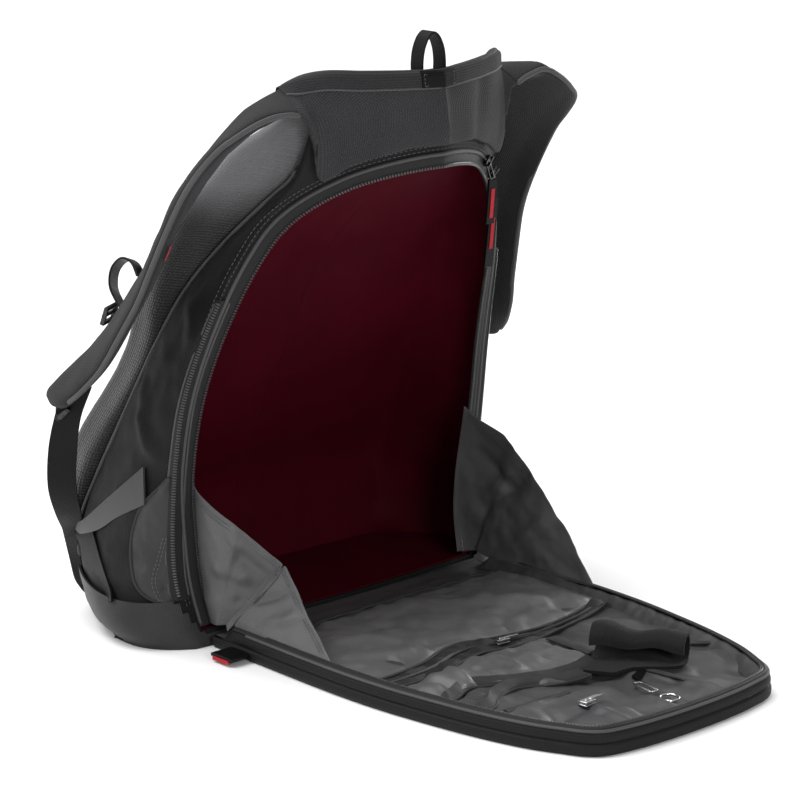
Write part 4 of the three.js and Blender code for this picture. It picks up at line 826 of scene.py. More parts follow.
binding_tape = cloth_finish("binding_tape", (0.02, 0.02, 0.021), (0.085, 0.085, 0.088), 1.4, 0.55, 0.05, 0.4)
dark_binding = cloth_finish(
    "dark_binding", (0.006, 0.006, 0.0066), (0.034, 0.034, 0.036), 1.4, 0.55, 0.04, 0.4
)


def beside(edge, radius, at, edges=strap_edges):
    a, b = edges(at)
    inward = (b - a) / np.linalg.norm(b - a)
    point, away = (a, -1) if edge == "a" else (b, 1)
    return point + inward * away * radius * 0.35


for hand, point_at in (("right", as_right), ("left", as_left)):
    path = smooth_line([point_at(beside("a", 2.2, at)) for at in np.arange(5.15, 17.01, 0.395)], 160)
    cord("arm_piping_" + hand, path, 2.3, binding_tape, "armhole_piping_" + hand)
neck_path = smooth_line([beside("b", 2.8, at, yoke_edges) for at in np.arange(-5, 5.01, 0.5)], 140)
cord("neck_binding", neck_path, 3.0, dark_binding, "neckline_binding", sides=10)

NECK_PROFILE = [(-11, 4.6), (-5, 4.9), (0, 4.6), (2.2, 2), (2.2, -2), (0, -4.6), (-5, -4.9), (-9, -4.6)]


def neck_band_place(u, v):
    a, b, normal, run = band_frame(yoke_edges, -5.2 + 10.4 * v, step=0.3, low=-5.6, high=5.6)
    across, lift = smooth_profile[int(round(u * 28))]
    return b + (b - a) / np.linalg.norm(b - a) * across + normal * lift


smooth_profile = smooth_line(NECK_PROFILE, 29)
sewn(
    "neck_band", 28, 150, neck_band_place,
    1.0, 0, strap_cloth, "binding", smooth=60, rumples=[(18, 0.5, 35)],
)
line = smooth_line([neck_band_place(0, v) for v in np.linspace(0, 1, 40)], 160)
cord("neck_piping", line, 1.0, binding_tape, sides=6)

# Back edge welts
# Where each side panel meets the back, a corded welt in pale tape stands out of the seam.
for hand, sign in (("right", 1), ("left", -1)):
    line = smooth_line([body_point(sign * SIDE_SHARE, z, -0.6) for z in np.linspace(48, 400, 40)], 220)
    cord("back_welt_" + hand, line, 2.1, binding_tape)

# Main zip, body half
# A black zip tape is sewn round the opening between the shell and a light piping, and its
# moulded teeth stand along the inner edge.
zip_tape = cloth_finish("zip_tape", (0.003, 0.003, 0.0034), (0.018, 0.018, 0.019), 1.1, 0.55, 0.03, 0.4)


def plain_finish(name, dark, light, rough, grain, bump, metal=0.0):
    """Moulded plastic, thread or metal: fine grain, uneven tone and slightly uneven gloss."""
    material, tree, shader = new_finish(name, {"Metallic": metal})
    place = add_node(tree, "TexCoord").outputs["Object"]
    fine = add_node(tree, "TexNoise", {"Scale": grain, "Detail": 3}, {"Vector": place}).outputs["Fac"]
    tone = add_node(tree, "Mix", {"A": (*dark, 1), "B": (*light, 1)}, {"Factor": fine}, data_type="RGBA")
    tree.links.new(tone.outputs["Result"], shader.inputs["Base Color"])
    gloss_and_relief(tree, shader, fine, max(0.05, rough - 0.1), min(1, rough + 0.1), fine, bump, 0.0003)
    return material


tooth_plastic = plain_finish("tooth_plastic", (0.012, 0.012, 0.013), (0.06, 0.06, 0.062), 0.3, 700, 0.2)
thread_grey = plain_finish("thread_grey", (0.03, 0.03, 0.031), (0.09, 0.09, 0.093), 0.7, 900, 0.4)


def studs(name, places, runs, outs, length, width, height):
    """Row of small rounded blocks in one mesh: teeth or stitches."""
    bpy.ops.object.select_all(action="DESELECT")
    bpy.ops.mesh.primitive_cube_add(size=1)
    block = bpy.context.object
    block.name = name
    bevel = block.modifiers.new("edge", "BEVEL")
    bevel.width = 0.22
    bevel.segments = 1
    apply_all(block)
    unit = np.array([v.co for v in block.data.vertices])
    faces = [tuple(p.vertices) for p in block.data.polygons]
    places, runs, outs = (np.array(part, float) for part in (places, runs, outs))
    runs /= np.linalg.norm(runs, axis=1)[:, None]
    sides = np.cross(runs, outs)
    sides /= np.linalg.norm(sides, axis=1)[:, None]
    ups = np.cross(sides, runs)
    points, polygons = [], []
    for i, middle in enumerate(places):
        turned = (
            unit[:, :1] * length * runs[i] + unit[:, 1:2] * width * sides[i] + unit[:, 2:] * height * ups[i]
        )
        points.append((turned + middle + PLACE) / 1000)
        polygons += [tuple(k + i * len(unit) for k in face) for face in faces]
    mesh = bpy.data.meshes.new(name)
    mesh.from_pydata(np.concatenate(points).tolist(), [], polygons)
    mesh.uv_layers.new(name="cloth")
    spare = block.data
    block.data = mesh
    bpy.data.meshes.remove(spare)
    merge_edges(block)
    return block


def arch_band(inner, outer, lift, crown):
    """Band along the opening's edge, raised in its middle."""
    def place(u, v):
        return arch_place(v, outer + (inner - outer) * u, lift + crown * 4 * u * (1 - u))
    return place


sewn(
    "main_zip_tape_body", 6, 420, arch_band(-6.5, 6, 0.8, 1.2),
    1.0, 1, zip_tape, "zip_tape", "main_zip_body",
)
line = np.array([arch_place(s, 4.6, 2.2) for s in np.linspace(0.001, 0.999, 420)])
cord("main_zip_piping_body", line, 1.5, binding_tape)


def stud_row(name, line, out_of, length, width, height, gap, finish, slot):
    """Studs set evenly along a line; out_of gives the outward direction at a point."""
    run = np.concatenate([[0], np.cumsum(np.linalg.norm(np.diff(line, axis=0), axis=1))])
    want = np.arange(gap / 2, run[-1], gap)
    places = np.stack([np.interp(want, run, line[:, k]) for k in range(3)], axis=1)
    runs = np.gradient(places, axis=0)
    outs = [out_of(p) for p in places]
    row = studs(name, places, runs, outs, length, width, height)
    settle(row, finish, slot, smooth=30)


def stitches(name, line, out_of, length, gap, width=0.6, height=0.5):
    """Row of stitches in grey thread."""
    stud_row(name, line, out_of, length, width, height, gap, thread_grey, "binding")


line = np.array([arch_place(s, -5.6, 2.4) for s in np.linspace(0.001, 0.999, 600)])
stud_row("main_zip_teeth_body", line, lambda p: (0, -1, 0), 1.5, 2.6, 1.6, 2.5, tooth_plastic, "zip_tape")
for outward, label in ((8.5, "inner"), (11.5, "outer")):
    line = np.array([arch_place(s, outward, 0.5) for s in np.linspace(0.02, 0.98, 600)])
    stitches("opening_stitch_" + label, line, lambda p: (0, -1, 0), 2.6, 4.2)

# Expansion zips
# A second zip runs up each side just behind the front's edge, with fine teeth between two
# narrow tapes and a thin piping beside them.
for hand, sign in (("right", 1), ("left", -1)):
    def side_zip_place(u, v, sign=sign):
        z = HEIGHT * (0.085 + 0.545 * v)
        off = (u if sign < 0 else 1 - u) - 0.5
        turn = FRONT_SHARE + off * (0.05 if off < 0 else 0.044)
        return body_point(sign * turn, z, -(1.3 + 1.0 * np.sin(np.pi * u)))
    sewn(
        "expansion_zip_tape_" + hand, 8, 130, side_zip_place,
        1.2, 0, zip_tape, "zip_tape", "expansion_zip_" + hand,
    )
    middle = np.array([side_zip_place(0.5, v) for v in np.linspace(0.01, 0.99, 200)])
    middle[:, 0] += sign * 0.6
    middle[:, 1] -= 0.5
    stud_row(
        "expansion_zip_teeth_" + hand, middle, lambda p, s=sign: (s, -0.9, 0), 1.4, 3.4, 1.2, 2.4,
        tooth_plastic, "zip_tape",
    )
    for u, label in ((0.02, "first"), (0.98, "second")):
        edge = np.array([side_zip_place(u, v) for v in np.linspace(0.005, 0.995, 130)])
        cord("expansion_piping_%s_%s" % (label, hand), edge, 1.2, binding_tape, sides=6)

# Lower side panels
# A stiffer satin panel is sewn over the foot of each side, between the side zip and the wing.
# A curved double seam runs down it, and its free edge is piped.
PANEL_FOOT, PANEL_HEAD = 38, 145
PANEL_ROWS = [(38, 0.12), (48, 0.25), (70, 0.33), (98, 0.34), (119, 0.28), (135, 0.14), (146, 0.05)]
SEAM_ROWS = [(39, 0.1), (57, 0.14), (75, 0.1), (96, 0.05)]
panel_nylon = cloth_finish(
    "panel_nylon", (0.007, 0.007, 0.0076), (0.028, 0.028, 0.03), 1.3, 0.42, 0.03, 0.35, shine=0.35
)


def side_point(sign, behind, z, inset):
    """Point of a side, from its front edge (0) to its back edge (1)."""
    return body_point(sign * (FRONT_SHARE + 0.37 * behind), z, inset)


for hand, sign in (("right", 1), ("left", -1)):
    def panel_place(u, v, sign=sign):
        z = PANEL_FOOT + (PANEL_HEAD - PANEL_FOOT) * v
        back = table_at(PANEL_ROWS, z)[0]
        t = 0.04 + (back - 0.04) * (1 - u if sign < 0 else u)
        return side_point(sign, t, z, -(1.0 + 1.8 * np.sin(np.pi * u)))
    sewn(
        "side_panel_" + hand, 30, 60, panel_place, 1.2, 1, panel_nylon, "soft_nylon",
        rumples=[(26, 2.6, 91), (11, 0.8, 92)],
        ends=lambda u, v: min(1, u / 0.15, (1 - u) / 0.15, v / 0.1, (1 - v) / 0.1),
    )
    for side, label in ((-0.012, "back"), (0.012, "front")):
        line = np.array([
            side_point(sign, table_at(SEAM_ROWS, z)[0] + side, z, -4.6) for z in np.linspace(41, 96, 60)
        ])
        stitches("panel_stitch_%s_%s" % (label, hand), line, lambda p, s=sign: (s, -0.4, 0), 2.4, 3.8, 0.7, 0.6)
    heights = np.linspace(PANEL_FOOT, PANEL_HEAD, 30)
    line = smooth_line([side_point(sign, table_at(PANEL_ROWS, z)[0], z, -2) for z in heights], 120)
    cord("panel_piping_" + hand, line, 1.5, dark_binding, sides=6)

# Haul loop
# A loop of flat webbing stands on the top edge between the straps, both ends box stitched.
webbing_cloth = cloth_finish(
    "webbing", (0.001, 0.001, 0.0012), (0.005, 0.005, 0.0055), 1.6, 0.42, 0.0, 0.35,
    threads=0.35, wide=0.9, shine=0.12,
)
HAUL_LINE = [
    (-12, 471.5), (-12.2, 481), (-10.3, 492), (-5.4, 501), (0, 504.3),
    (5.4, 501), (10.3, 492), (12.2, 481), (12, 471.5),
]
haul_line = smooth_line(HAUL_LINE, 61)


def haul_place(u, v):
    x, z = haul_line[int(round(v * 60))]
    return np.array([x, -116.3 + 13 * u, z])


sewn("haul_loop_webbing", 8, 60, haul_place, 2.0, 0, webbing_cloth, "webbing", "haul_loop")


def haul_base_place(u, v):
    at = -0.52 + 0.86 * v
    a, b, normal, run = band_frame(yoke_edges, at, step=0.3, low=-5.6, high=5.6)
    across, lift = smooth_profile[int(round(u * 13))]
    return b + (b - a) / np.linalg.norm(b - a) * (across + 0.4) + normal * (lift + 1.2)


sewn("haul_loop_base", 13, 24, haul_base_place, 1.2, 0, webbing_cloth, "webbing")
BOX_STITCH = ((0.1, 0.06), (0.1, 0.94), (0.75, 0.94), (0.1, 0.06), (0.75, 0.06), (0.1, 0.94))
box_line = [haul_base_place(u, v) for u, v in BOX_STITCH]
line = np.concatenate([np.linspace(p, q, 12) for p, q in zip(box_line[:-1], box_line[1:])])
line[:, 1] -= 0.9
stitches("haul_stitch", line, lambda p: (0, -1, 0.1), 2.2, 3.2)
for side, label in ((-0.07, "left"), (0.07, "right")):
    seam = []
    for share in np.linspace(0.06, 0.8, 30):
        a, b, normal, run = band_frame(yoke_edges, side, step=0.3, low=-5.6, high=5.6)
        seam.append(a + (b - a) * share + normal * 3.4)
    stitches("yoke_stitch_" + label, np.array(seam), lambda p: (0, -1, 0), 2.6, 4.0, 0.7)

# Strap webbing, wing tabs, lower webbing and tails
# Flat woven webbing hangs from each strap's buckle to the side of the bag, a nylon wing holds
# its buckle, and a second length folds down to the base.
WEBBING_ROWS = {
    "strap_webbing": [
        (217, 96, 208, 200, 78, 213), (220.5, 104, 184, 206, 86, 187), (220, 114, 155, 203, 97, 154),
        (214, 124, 120, 198, 106, 120), (201, 133, 94, 187, 115, 93), (186, 144, 74, 176, 128, 77),
        (180, 150, 65, 170, 134, 68),
    ],
    "wing_tab": [
        (181, 36, 150, 185.5, 30, 120), (188, 66, 124, 188, 64, 102), (188, 92, 104, 187, 90, 86),
        (186, 112, 90, 184, 112, 77), (182, 128, 82, 180, 128, 72), (177, 142, 78, 175, 142, 69),
    ],
    "lower_webbing": [
        (177, 140, 74, 184, 104, 82), (188, 108, 54, 198, 72, 60), (198, 80, 36, 207, 50, 46),
        (203, 70, 28, 212, 42, 40),
    ],
    "webbing_tail": [
        (180, 152, 72, 177, 137, 74), (172, 154, 44, 170, 140, 44), (174, 144, 26, 172, 130, 26),
        (181, 124, 22, 184, 110, 24), (188, 108, 24, 194, 94, 28),
    ],
    "sternum_loop": [
        (182.8, 37, 310, 168.2, 46, 304.6), (180.8, 47, 319, 166.2, 56, 313.6), (179.8, 62, 320, 165.2, 71, 314.6),
        (180.8, 74, 309, 166.2, 83, 303.6), (181.8, 75, 295, 167.2, 84, 289.6), (181.8, 67, 284, 167.2, 76, 278.6),
        (182.8, 60, 280, 168.2, 69, 274.6),
    ],
}
satin_nylon = cloth_finish(
    "satin_nylon", (0.016, 0.016, 0.017), (0.06, 0.06, 0.063), 1.3, 0.42, 0.03, 0.35, shine=0.35
)


def flat_band(name, rows, thickness, point_at, columns=10, steps=60):
    """Flat band through edge rows, with its own thickness."""
    a_line = smooth_line([row[:3] for row in rows], steps + 1)
    b_line = smooth_line([row[3:] for row in rows], steps + 1)

    def place(u, v):
        i = int(round(v * steps))
        return point_at(a_line[i] + (b_line[i] - a_line[i]) * u)
    piece = sheet_of(name, columns, steps, place)
    wall(piece, thickness, 0)
    return piece


for hand in ("right", "left"):
    for kind, rows in WEBBING_ROWS.items():
        hangs = kind in ("strap_webbing", "sternum_loop")
        point_at = (as_right if hangs else (lambda p: p)) if hand == "right" else as_left
        band = flat_band(kind + "_cloth_" + hand, rows, 1.9, point_at)
        finish = satin_nylon if kind == "wing_tab" else webbing_cloth
        settle(band, finish, "soft_nylon" if kind == "wing_tab" else "webbing", kind + "_" + hand)

# Ladder locks and sternum buckles
# Moulded black plastic: a frame with a grip bar across, the webbing threaded under it.
black_plastic = plain_finish("black_plastic", (0.003, 0.003, 0.0034), (0.012, 0.012, 0.013), 0.3, 500, 0.15)


def moulded(name, centre, along, across, blocks, edge=0.8):
    """Rounded blocks joined to one hard part; a block is its ends along, across and up in mm."""
    run = np.array(along, float)
    run /= np.linalg.norm(run)
    up = np.cross(run, across)
    up /= np.linalg.norm(up)
    side = np.cross(up, run)
    made = []
    for low_run, high_run, low_side, high_side, low_up, high_up in blocks:
        bpy.ops.object.select_all(action="DESELECT")
        bpy.ops.mesh.primitive_cube_add(size=2)
        block = bpy.context.object
        for vertex in block.data.vertices:
            i, j, k = ((np.array(vertex.co) + 1) / 2)
            point = (
                np.array(centre)
                + run * (low_run + (high_run - low_run) * i)
                + side * (low_side + (high_side - low_side) * j)
                + up * (low_up + (high_up - low_up) * k)
            )
            vertex.co = Vector((point + PLACE) / 1000)
        bevel = block.modifiers.new("edge", "BEVEL")
        bevel.width = edge / 1000
        bevel.segments = 3
        apply_all(block)
        made.append(block)
    for block in made:
        block.select_set(True)
    bpy.context.view_layer.objects.active = made[0]
    bpy.ops.object.join()
    piece = bpy.context.object
    piece.name = name
    merge_edges(piece, 0.000001)
    return piece


def local_box(length, width, thick, bar):
    """Frame of four bars with one bar across its middle."""
    l, w, t = length / 2, width / 2, thick / 2
    return [
        (-l, -l + bar, -w, w, -t, t), (l - bar, l, -w, w, -t, t), (-l, l, -w, -w + bar, -t, t),
        (-l, l, w - bar, w, -t, t), (-bar / 2, bar / 2, -w, w, -t * 0.4, t * 1.1),
    ]


for hand, point_at in (("right", as_right), ("left", as_left)):
    tip_a, tip_b = (point_at(p) for p in strap_edges(17))
    back_a, back_b = (point_at(p) for p in strap_edges(16))
    run = tip_a + tip_b - back_a - back_b
    run /= np.linalg.norm(run)
    inner = np.array([12 if hand == "left" else -12, 0, 0])
    middle = (tip_a + tip_b) / 2 + run * 13 + inner
    lock = moulded("ladder_lock_frame_" + hand, middle, run, tip_b - tip_a, local_box(16, 33, 4.5, 3.4))
    settle(lock, black_plastic, "black_plastic", "ladder_lock_" + hand, smooth=30)
    centre = point_at(np.array([183.7, 73.6, 272.4]))
    lead = np.array([0.1, 0.35, -1.0]) * (MIRROR if hand == "left" else 1)
    wide = np.array([0.8, -0.5, 0.3]) * (MIRROR if hand == "left" else 1)
    buckle = moulded("sternum_clip_" + hand, centre, lead, wide, local_box(16, 20, 4, 2.6))
    settle(buckle, black_plastic, "black_plastic", "sternum_buckle_" + hand, smooth=30)

# Flap shell
# The front panel lies on the floor as a shallow tray. Its rim has a black lower band, a grey
# band above it and a light piping under the zip.
FLAP_ROWS = [
    (0, 0.987), (0.115, 0.994), (0.39, 1), (0.515, 0.981), (0.627, 0.942), (0.715, 0.903), (0.79, 0.857),
    (0.853, 0.805), (0.907, 0.74), (0.945, 0.688), (0.973, 0.61), (0.99, 0.429), (0.998, 0.221), (1, 0),
]
FLAP_HALF_WIDTH, FLAP_LENGTH, HINGE_Y, RIM_STEPS = 154, 400, -14.4, 500
half_flap = [(FLAP_HALF_WIDTH * out, HINGE_Y - FLAP_LENGTH * along) for along, out in FLAP_ROWS]
flap_line = smooth_line(half_flap + [(-x, y) for x, y in half_flap[-2::-1]], RIM_STEPS + 1)
flap_run = np.gradient(flap_line, axis=0)
flap_out = np.stack([-flap_run[:, 1], flap_run[:, 0]], axis=1)
flap_out /= np.linalg.norm(flap_out, axis=1)[:, None]
flap_out *= np.sign(flap_out[0, 0])


def rim_place(profile):
    """Profile of inward distances and heights carried round the flap's outline."""
    profile = np.array(profile, float)

    def place(u, v):
        at = u * (len(profile) - 1)
        i = min(int(at), len(profile) - 2)
        inward, z = profile[i] + (profile[i + 1] - profile[i]) * (at - i)
        k = int(round(v * RIM_STEPS))
        x, y = flap_line[k] - flap_out[k] * inward
        low = 1 - limited((-y - 26) / 12)
        return np.array([x, min(y, HINGE_Y), z * (1 - low) + min(z, 9.5) * low])
    return place


def flap_half_width(y):
    return float(np.interp(-y, [-p[1] for p in half_flap], [p[0] for p in half_flap]))


sewn(
    "flap_rim_black", 8, RIM_STEPS,
    rim_place([(3.2, 0.2), (1, 1.4), (-0.2, 4), (-0.2, 8), (1.0, 10.4), (3, 10.4)]),
    1.0, 0, ballistic, "ballistic_nylon", "flap_shell",
)
sewn(
    "flap_rim_grey", 8, RIM_STEPS,
    rim_place([(2.2, 9.6), (0.7, 12), (0.4, 14.5), (1.2, 17.5), (3.0, 20), (5, 21)]),
    1.0, 0, ballistic, "ballistic_nylon",
)


def under_place(u, v):
    y = -(14.5 + 399.3 * v)
    return np.array([flap_half_width(y) * (2 * u - 1) * 0.996, y, 2.4])


sewn("flap_underside", 40, 60, under_place, 2.2, -1, ballistic, "ballistic_nylon")

# Main zip, flap half
# The other half of the zip runs round the flap's rim on top of a light piping, teeth inwards.
sewn(
    "main_zip_tape_flap", 6, RIM_STEPS, rim_place([(2.6, 20.8), (3.4, 22.2), (4.8, 22.8), (7.4, 21.8)]),
    0.9, 0, zip_tape, "zip_tape", "main_zip_flap",
)
piping_at = rim_place([(2.2, 20.2), (2.2, 20.2)])
line = np.array([piping_at(0, v) for v in np.linspace(0.04, 0.96, 461)])
cord("flap_piping", line, 1.3, binding_tape)
teeth_at = rim_place([(7.4, 22.6), (7.4, 22.6)])
line = np.array([teeth_at(0, v) for v in np.linspace(0.06, 0.94, 441)])
stud_row("main_zip_teeth_flap", line, lambda p: (0, 0, 1), 1.5, 2.6, 1.6, 2.5, tooth_plastic, "zip_tape")

# Flap lining
# Grey satin nylon over thin foam, gathered towards the far end, so it puckers in soft ridges.
flap_satin = cloth_finish(
    "flap_satin", (0.016, 0.016, 0.017), (0.062, 0.062, 0.065), 1.2, 0.36, 0.02, 0.3, shine=0.42
)
pocket_satin = cloth_finish(
    "pocket_satin", (0.03, 0.03, 0.031), (0.125, 0.125, 0.129), 1.2, 0.36, 0.02, 0.3, shine=0.42
)
FLAP_FOLDS = [
    ((50, -351, 13), (74, -404, 13), 4, 6), ((96, -280, 13), (130, -330, 13), 3, 7),
    ((20, -350, 13), (24, -404, 13), 3, 6), ((-20, -340, 13), (-30, -404, 13), 3, 7),
    ((90, -350, 13), (108, -378, 13), 3, 6), ((-80, -330, 13), (-96, -380, 13), 3, 7),
    ((60, -300, 13), (70, -330, 13), -3, 7), ((120, -210, 13), (146, -260, 13), 2.4, 7),
    ((-120, -60, 13), (-60, -40, 13), 2.4, 8), ((0, -40, 13), (60, -30, 13), 2.4, 8),
    ((-110, -316, 13), (-43, -320, 13), -4, 5), ((-51, -345, 13), (-56, -400, 13), -4, 5),
    ((102, -292, 13), (127, -318, 13), -5, 6), ((41, -321, 13), (52, -398, 13), -3.5, 5),
    ((-10, -300, 13), (40, -300, 13), 4, 10), ((0, -360, 13), (-8, -402, 13), -4, 6),
    ((60, -340, 13), (95, -372, 13), 4, 9), ((-90, -345, 13), (-30, -352, 13), 4, 9),
]


def flap_lining_place(u, v):
    y = -(14.8 + 395.4 * v)
    side = 2 * u - 1
    x = (flap_half_width(y) - 3.6) * side
    drop = 2.2 * max(abs(side) ** 6, max(0, v - 0.97) / 0.03)
    low = 1 - limited((-y - 24) / 16)
    return np.array([x, y, (13.2 - drop) * (1 - low) + 9.5 * low])


flap_inside = sheet_of(
    "flap_lining_cloth", 100, 130, flap_lining_place, folds=FLAP_FOLDS,
    rumples=[(60, 4.5, 51), (26, 2.4, 52), (10, 0.5, 53)],
    ends=lambda u, v: min(1, (1 - abs(2 * u - 1)) / 0.06) * min(1, v / 0.08) * min(1, (1 - v) / 0.02),
)
wall(flap_inside, 1.2, -1)
settle(flap_inside, flap_satin, "soft_nylon", "flap_lining")

border = sheet_of(
    "flap_border", 10, RIM_STEPS,
    rim_place([(6.6, 20.4), (9, 20.6), (12, 18.6), (15, 15.4), (18, 11.5)]),
    rumples=[(24, 1.8, 57), (10, 0.8, 58)],
)
wall(border, 1.0, -1)
merge_edges(border)
settle(border, flap_satin, "soft_nylon", smooth=70)

# Lining tapes
# Short bound slots and a stitched loop tape lie on the lining, where its puckers are caught down.
LINING_TAPES = [
    ("right_slot", (100, -290, 16), (128, -317, 16), 7), ("right_tack", (138, -256, 15.5), (130, -282, 15.5), 4),
    ("left_slot", (-110, -315, 16), (-44, -317, 16), 5), ("far_slot", (-51, -346, 15.5), (-55, -398, 15.5), 5),
    ("loop_tape", (36, -219, 17), (34, -268, 17), 11), ("near_strip", (41, -322, 15.5), (50, -398, 15.5), 6),
]
for label, start, end, width in LINING_TAPES:
    def tape_place(u, v, start=np.array(start, float), end=np.array(end, float), width=width):
        run = (end - start) / np.linalg.norm(end - start)
        aside = np.array([-run[1], run[0], 0]) * width * (u - 0.5)
        return start + (end - start) * v + aside + np.array([0, 0, 0.6 * np.sin(np.pi * u)])
    sewn(
        "lining_tape_" + label, 6, 24, tape_place,
        1.0, 0, dark_binding, "binding", smooth=60, rumples=[(14, 0.8, 87)],
    )

# Organiser pockets
# Three pockets are sewn across the lining, each a puckered band with a hemmed mouth. The
# nearest one closes with a curved zip.
ZIP_POCKET = [
    (-139, -66, -198), (-110, -66, -196), (-79, -58, -191), (-50, -58, -180), (-29, -58, -178), (-9, -58, -185),
    (20, -58, -191), (50, -58, -194), (98, -58, -187), (137, -66, -173),
]
POCKET_ZIP = [
    (-139, -198.5, -221), (-110, -197, -222), (-79, -191.6, -219), (-50, -180.4, -210), (-29, -178.4, -208),
    (-9, -185.2, -213), (20, -191.6, -214), (50, -194.4, -209), (98, -187.2, -200), (137, -173.6, -186),
]
MIDDLE_POCKET = [
    (-134, -222, -274), (-119, -223, -270), (-95, -222, -261), (-68, -217, -274), (-42, -211, -287),
    (-6, -215, -292), (24, -215, -286),
]
FAR_POCKET = [
    (-129, -276, -306), (-111, -270, -304), (-95, -263, -292), (-68, -276, -286), (-42, -289, -298),
    (-26, -292, -303), (-4, -294, -304),
]


def to_ends(v, reach=0.05):
    """Rises from nothing at both ends of a sheet to the whole within a share of its length."""
    return min(1, v / reach, (1 - v) / reach)


def pocket_line(rows, steps):
    near = smooth_line([(x, near) for x, near, far in rows], steps + 1)
    far = smooth_line([(x, far) for x, near, far in rows], steps + 1)
    return near, far


def pocket(name, rows, level, puff, columns, steps, folds=(), seed=61):
    """Sewn band that swells between its seams; u runs away from the hinge."""
    near, far = pocket_line(rows, steps)

    def place(u, v):
        i = int(round(v * steps))
        x, y = near[i] + (far[i] - near[i]) * u
        return np.array([x, y, level + puff * np.sin(np.pi * u) ** 0.5 * to_ends(v)])
    piece = sheet_of(
        name, columns, steps, place, folds=folds,
        rumples=[(34, 3.6, seed), (17, 1.8, seed + 1), (8, 0.4, seed + 2)],
        ends=lambda u, v: min(1, u / 0.06, (1 - u) / 0.06, v / 0.03, (1 - v) / 0.03),
    )
    wall(piece, 1.2, 0)
    return piece, near, far


ZIP_POCKET_FOLDS = [
    ((-100, -172, 19), (-96, -190, 19), -4, 4), ((-60, -158, 19), (-58, -176, 19), -4, 4),
    ((30, -168, 19), (24, -188, 19), -4, 4), ((-120, -150, 19), (-80, -172, 19), 4, 7),
    ((-120, -90, 18), (-70, -150, 18), 4, 8), ((-60, -80, 18), (-20, -150, 18), -3.5, 9),
    ((20, -100, 18), (90, -150, 18), 4, 10), ((-90, -120, 18), (20, -90, 18), -3, 8),
]
pocket_a, near, far = pocket("zip_pocket_cloth", ZIP_POCKET, 15.6, 5.4, 50, 110, ZIP_POCKET_FOLDS, 61)
settle(pocket_a, pocket_satin, "soft_nylon", "zip_pocket")
MIDDLE_FOLDS = [
    ((x, -226, 20), (x + lean, -262, 20), depth, 4.5)
    for x, lean, depth in ((-116, 6, -4), (-88, -5, 4), (-66, 4, -4), (-38, -4, 4), (-12, 5, -4.5))
]
pocket_b, _, far_b = pocket("middle_pocket_cloth", MIDDLE_POCKET, 15.4, 6.0, 34, 90, MIDDLE_FOLDS, 65)
settle(pocket_b, pocket_satin, "soft_nylon", "middle_pocket")
pocket_c, _, far_c = pocket("far_pocket_cloth", FAR_POCKET, 15.0, 2.0, 14, 60, seed=69)
settle(pocket_c, flap_satin, "soft_nylon", "far_pocket")
zip_band, zip_near, zip_far = pocket("pocket_zip_tape", POCKET_ZIP, 15.6, 1.2, 14, 120, seed=73)
settle(zip_band, zip_tape, "zip_tape", "pocket_zip")
line = np.array([[*((a + b) / 2), 17.6] for a, b in zip(zip_near, zip_far)])
stud_row("pocket_zip_teeth", line, lambda p: (0, 0, 1), 1.3, 4.2, 1.2, 2.2, tooth_plastic, "zip_tape")
for label, path in (("near", zip_near), ("far", zip_far), ("middle_hem", far_b), ("far_hem", far_c)):
    hem_line = np.array([[x, y, 16.4] for x, y in path])
    cord("organiser_hem_" + label, hem_line, 1.5, dark_binding)
for label, path, rise, wide in (("middle", far_b, 5.6, 9), ("far", far_c, 5.4, 9), ("near", near, 4.6, 12)):
    def mouth_place(u, v, path=path, rise=rise, wide=wide):
        x, y = path[int(round(v * (len(path) - 1)))]
        back = -1 if label == "near" else 1
        lift = rise * (1 - u) ** 0.6 * to_ends(v)
        return np.array([x, y + back * wide * (1 - u), 16.6 + lift])
    sewn(
        "pocket_mouth_" + label, 8, len(path) - 1, mouth_place,
        1.0, 0, dark_binding, "binding", smooth=60, rumples=[(20, 1.2, 77)],
    )

# Gussets
# Thin satin panels hemmed with a folded edge join the sides of the opening to the flap, and
# the left one has fallen inwards in sharp folds.
GUSSET_LEFT = [
    (-152, -10, 16, -161, -13, 139), (-149, -16, 19, -143, -36, 108), (-144, -22, 20, -113, -58, 74),
    (-147, -27, 16, -121, -59, 63), (-142, -30, 24, -113.6, -62, 74), (-144, -34, 19, -130, -108, 47),
    (-145, -36, 18.5, -146.9, -158, 21),
]
GUSSET_RIGHT = [
    (152, -10, 16, 161, -13, 148), (146, -18, 22, 152, -58, 121), (144.8, -22, 20, 150, -96, 93),
    (145, -30, 19, 148, -136, 52), (145.2, -36, 18.5, 146.8, -162, 21),
]
GUSSET_CREASES = {
    "left": [
        ((-150, -22, 95), (-122, -48, 62), 4, 6), ((-152, -14, 70), (-126, -40, 60), -3.5, 6),
        ((-140, -34, 40), (-119, -80, 56), 4, 4), ((-145, -60, 33), (-125, -112, 44), -3, 5),
        ((-148, -20, 48), (-136, -36, 84), 3, 6),
    ],
    "right": [
        ((150, -24, 60), (152, -80, 104), 4, 7), ((148, -60, 34), (149, -110, 70), -4, 7),
        ((152, -14, 110), (151, -60, 80), 3.5, 7),
    ],
}
gusset_cloth = cloth_finish(
    "gusset_nylon", (0.03, 0.03, 0.031), (0.118, 0.118, 0.122), 1.3, 0.4, 0.02, 0.35, shine=0.35
)


def linear_rows(rows, at):
    """Edge points between rows, with folds kept sharp."""
    rows = np.array(rows, float)
    k = at * (len(rows) - 1)
    i = min(int(k), len(rows) - 2)
    values = rows[i] + (rows[i + 1] - rows[i]) * (k - i)
    return values[:3], values[3:]


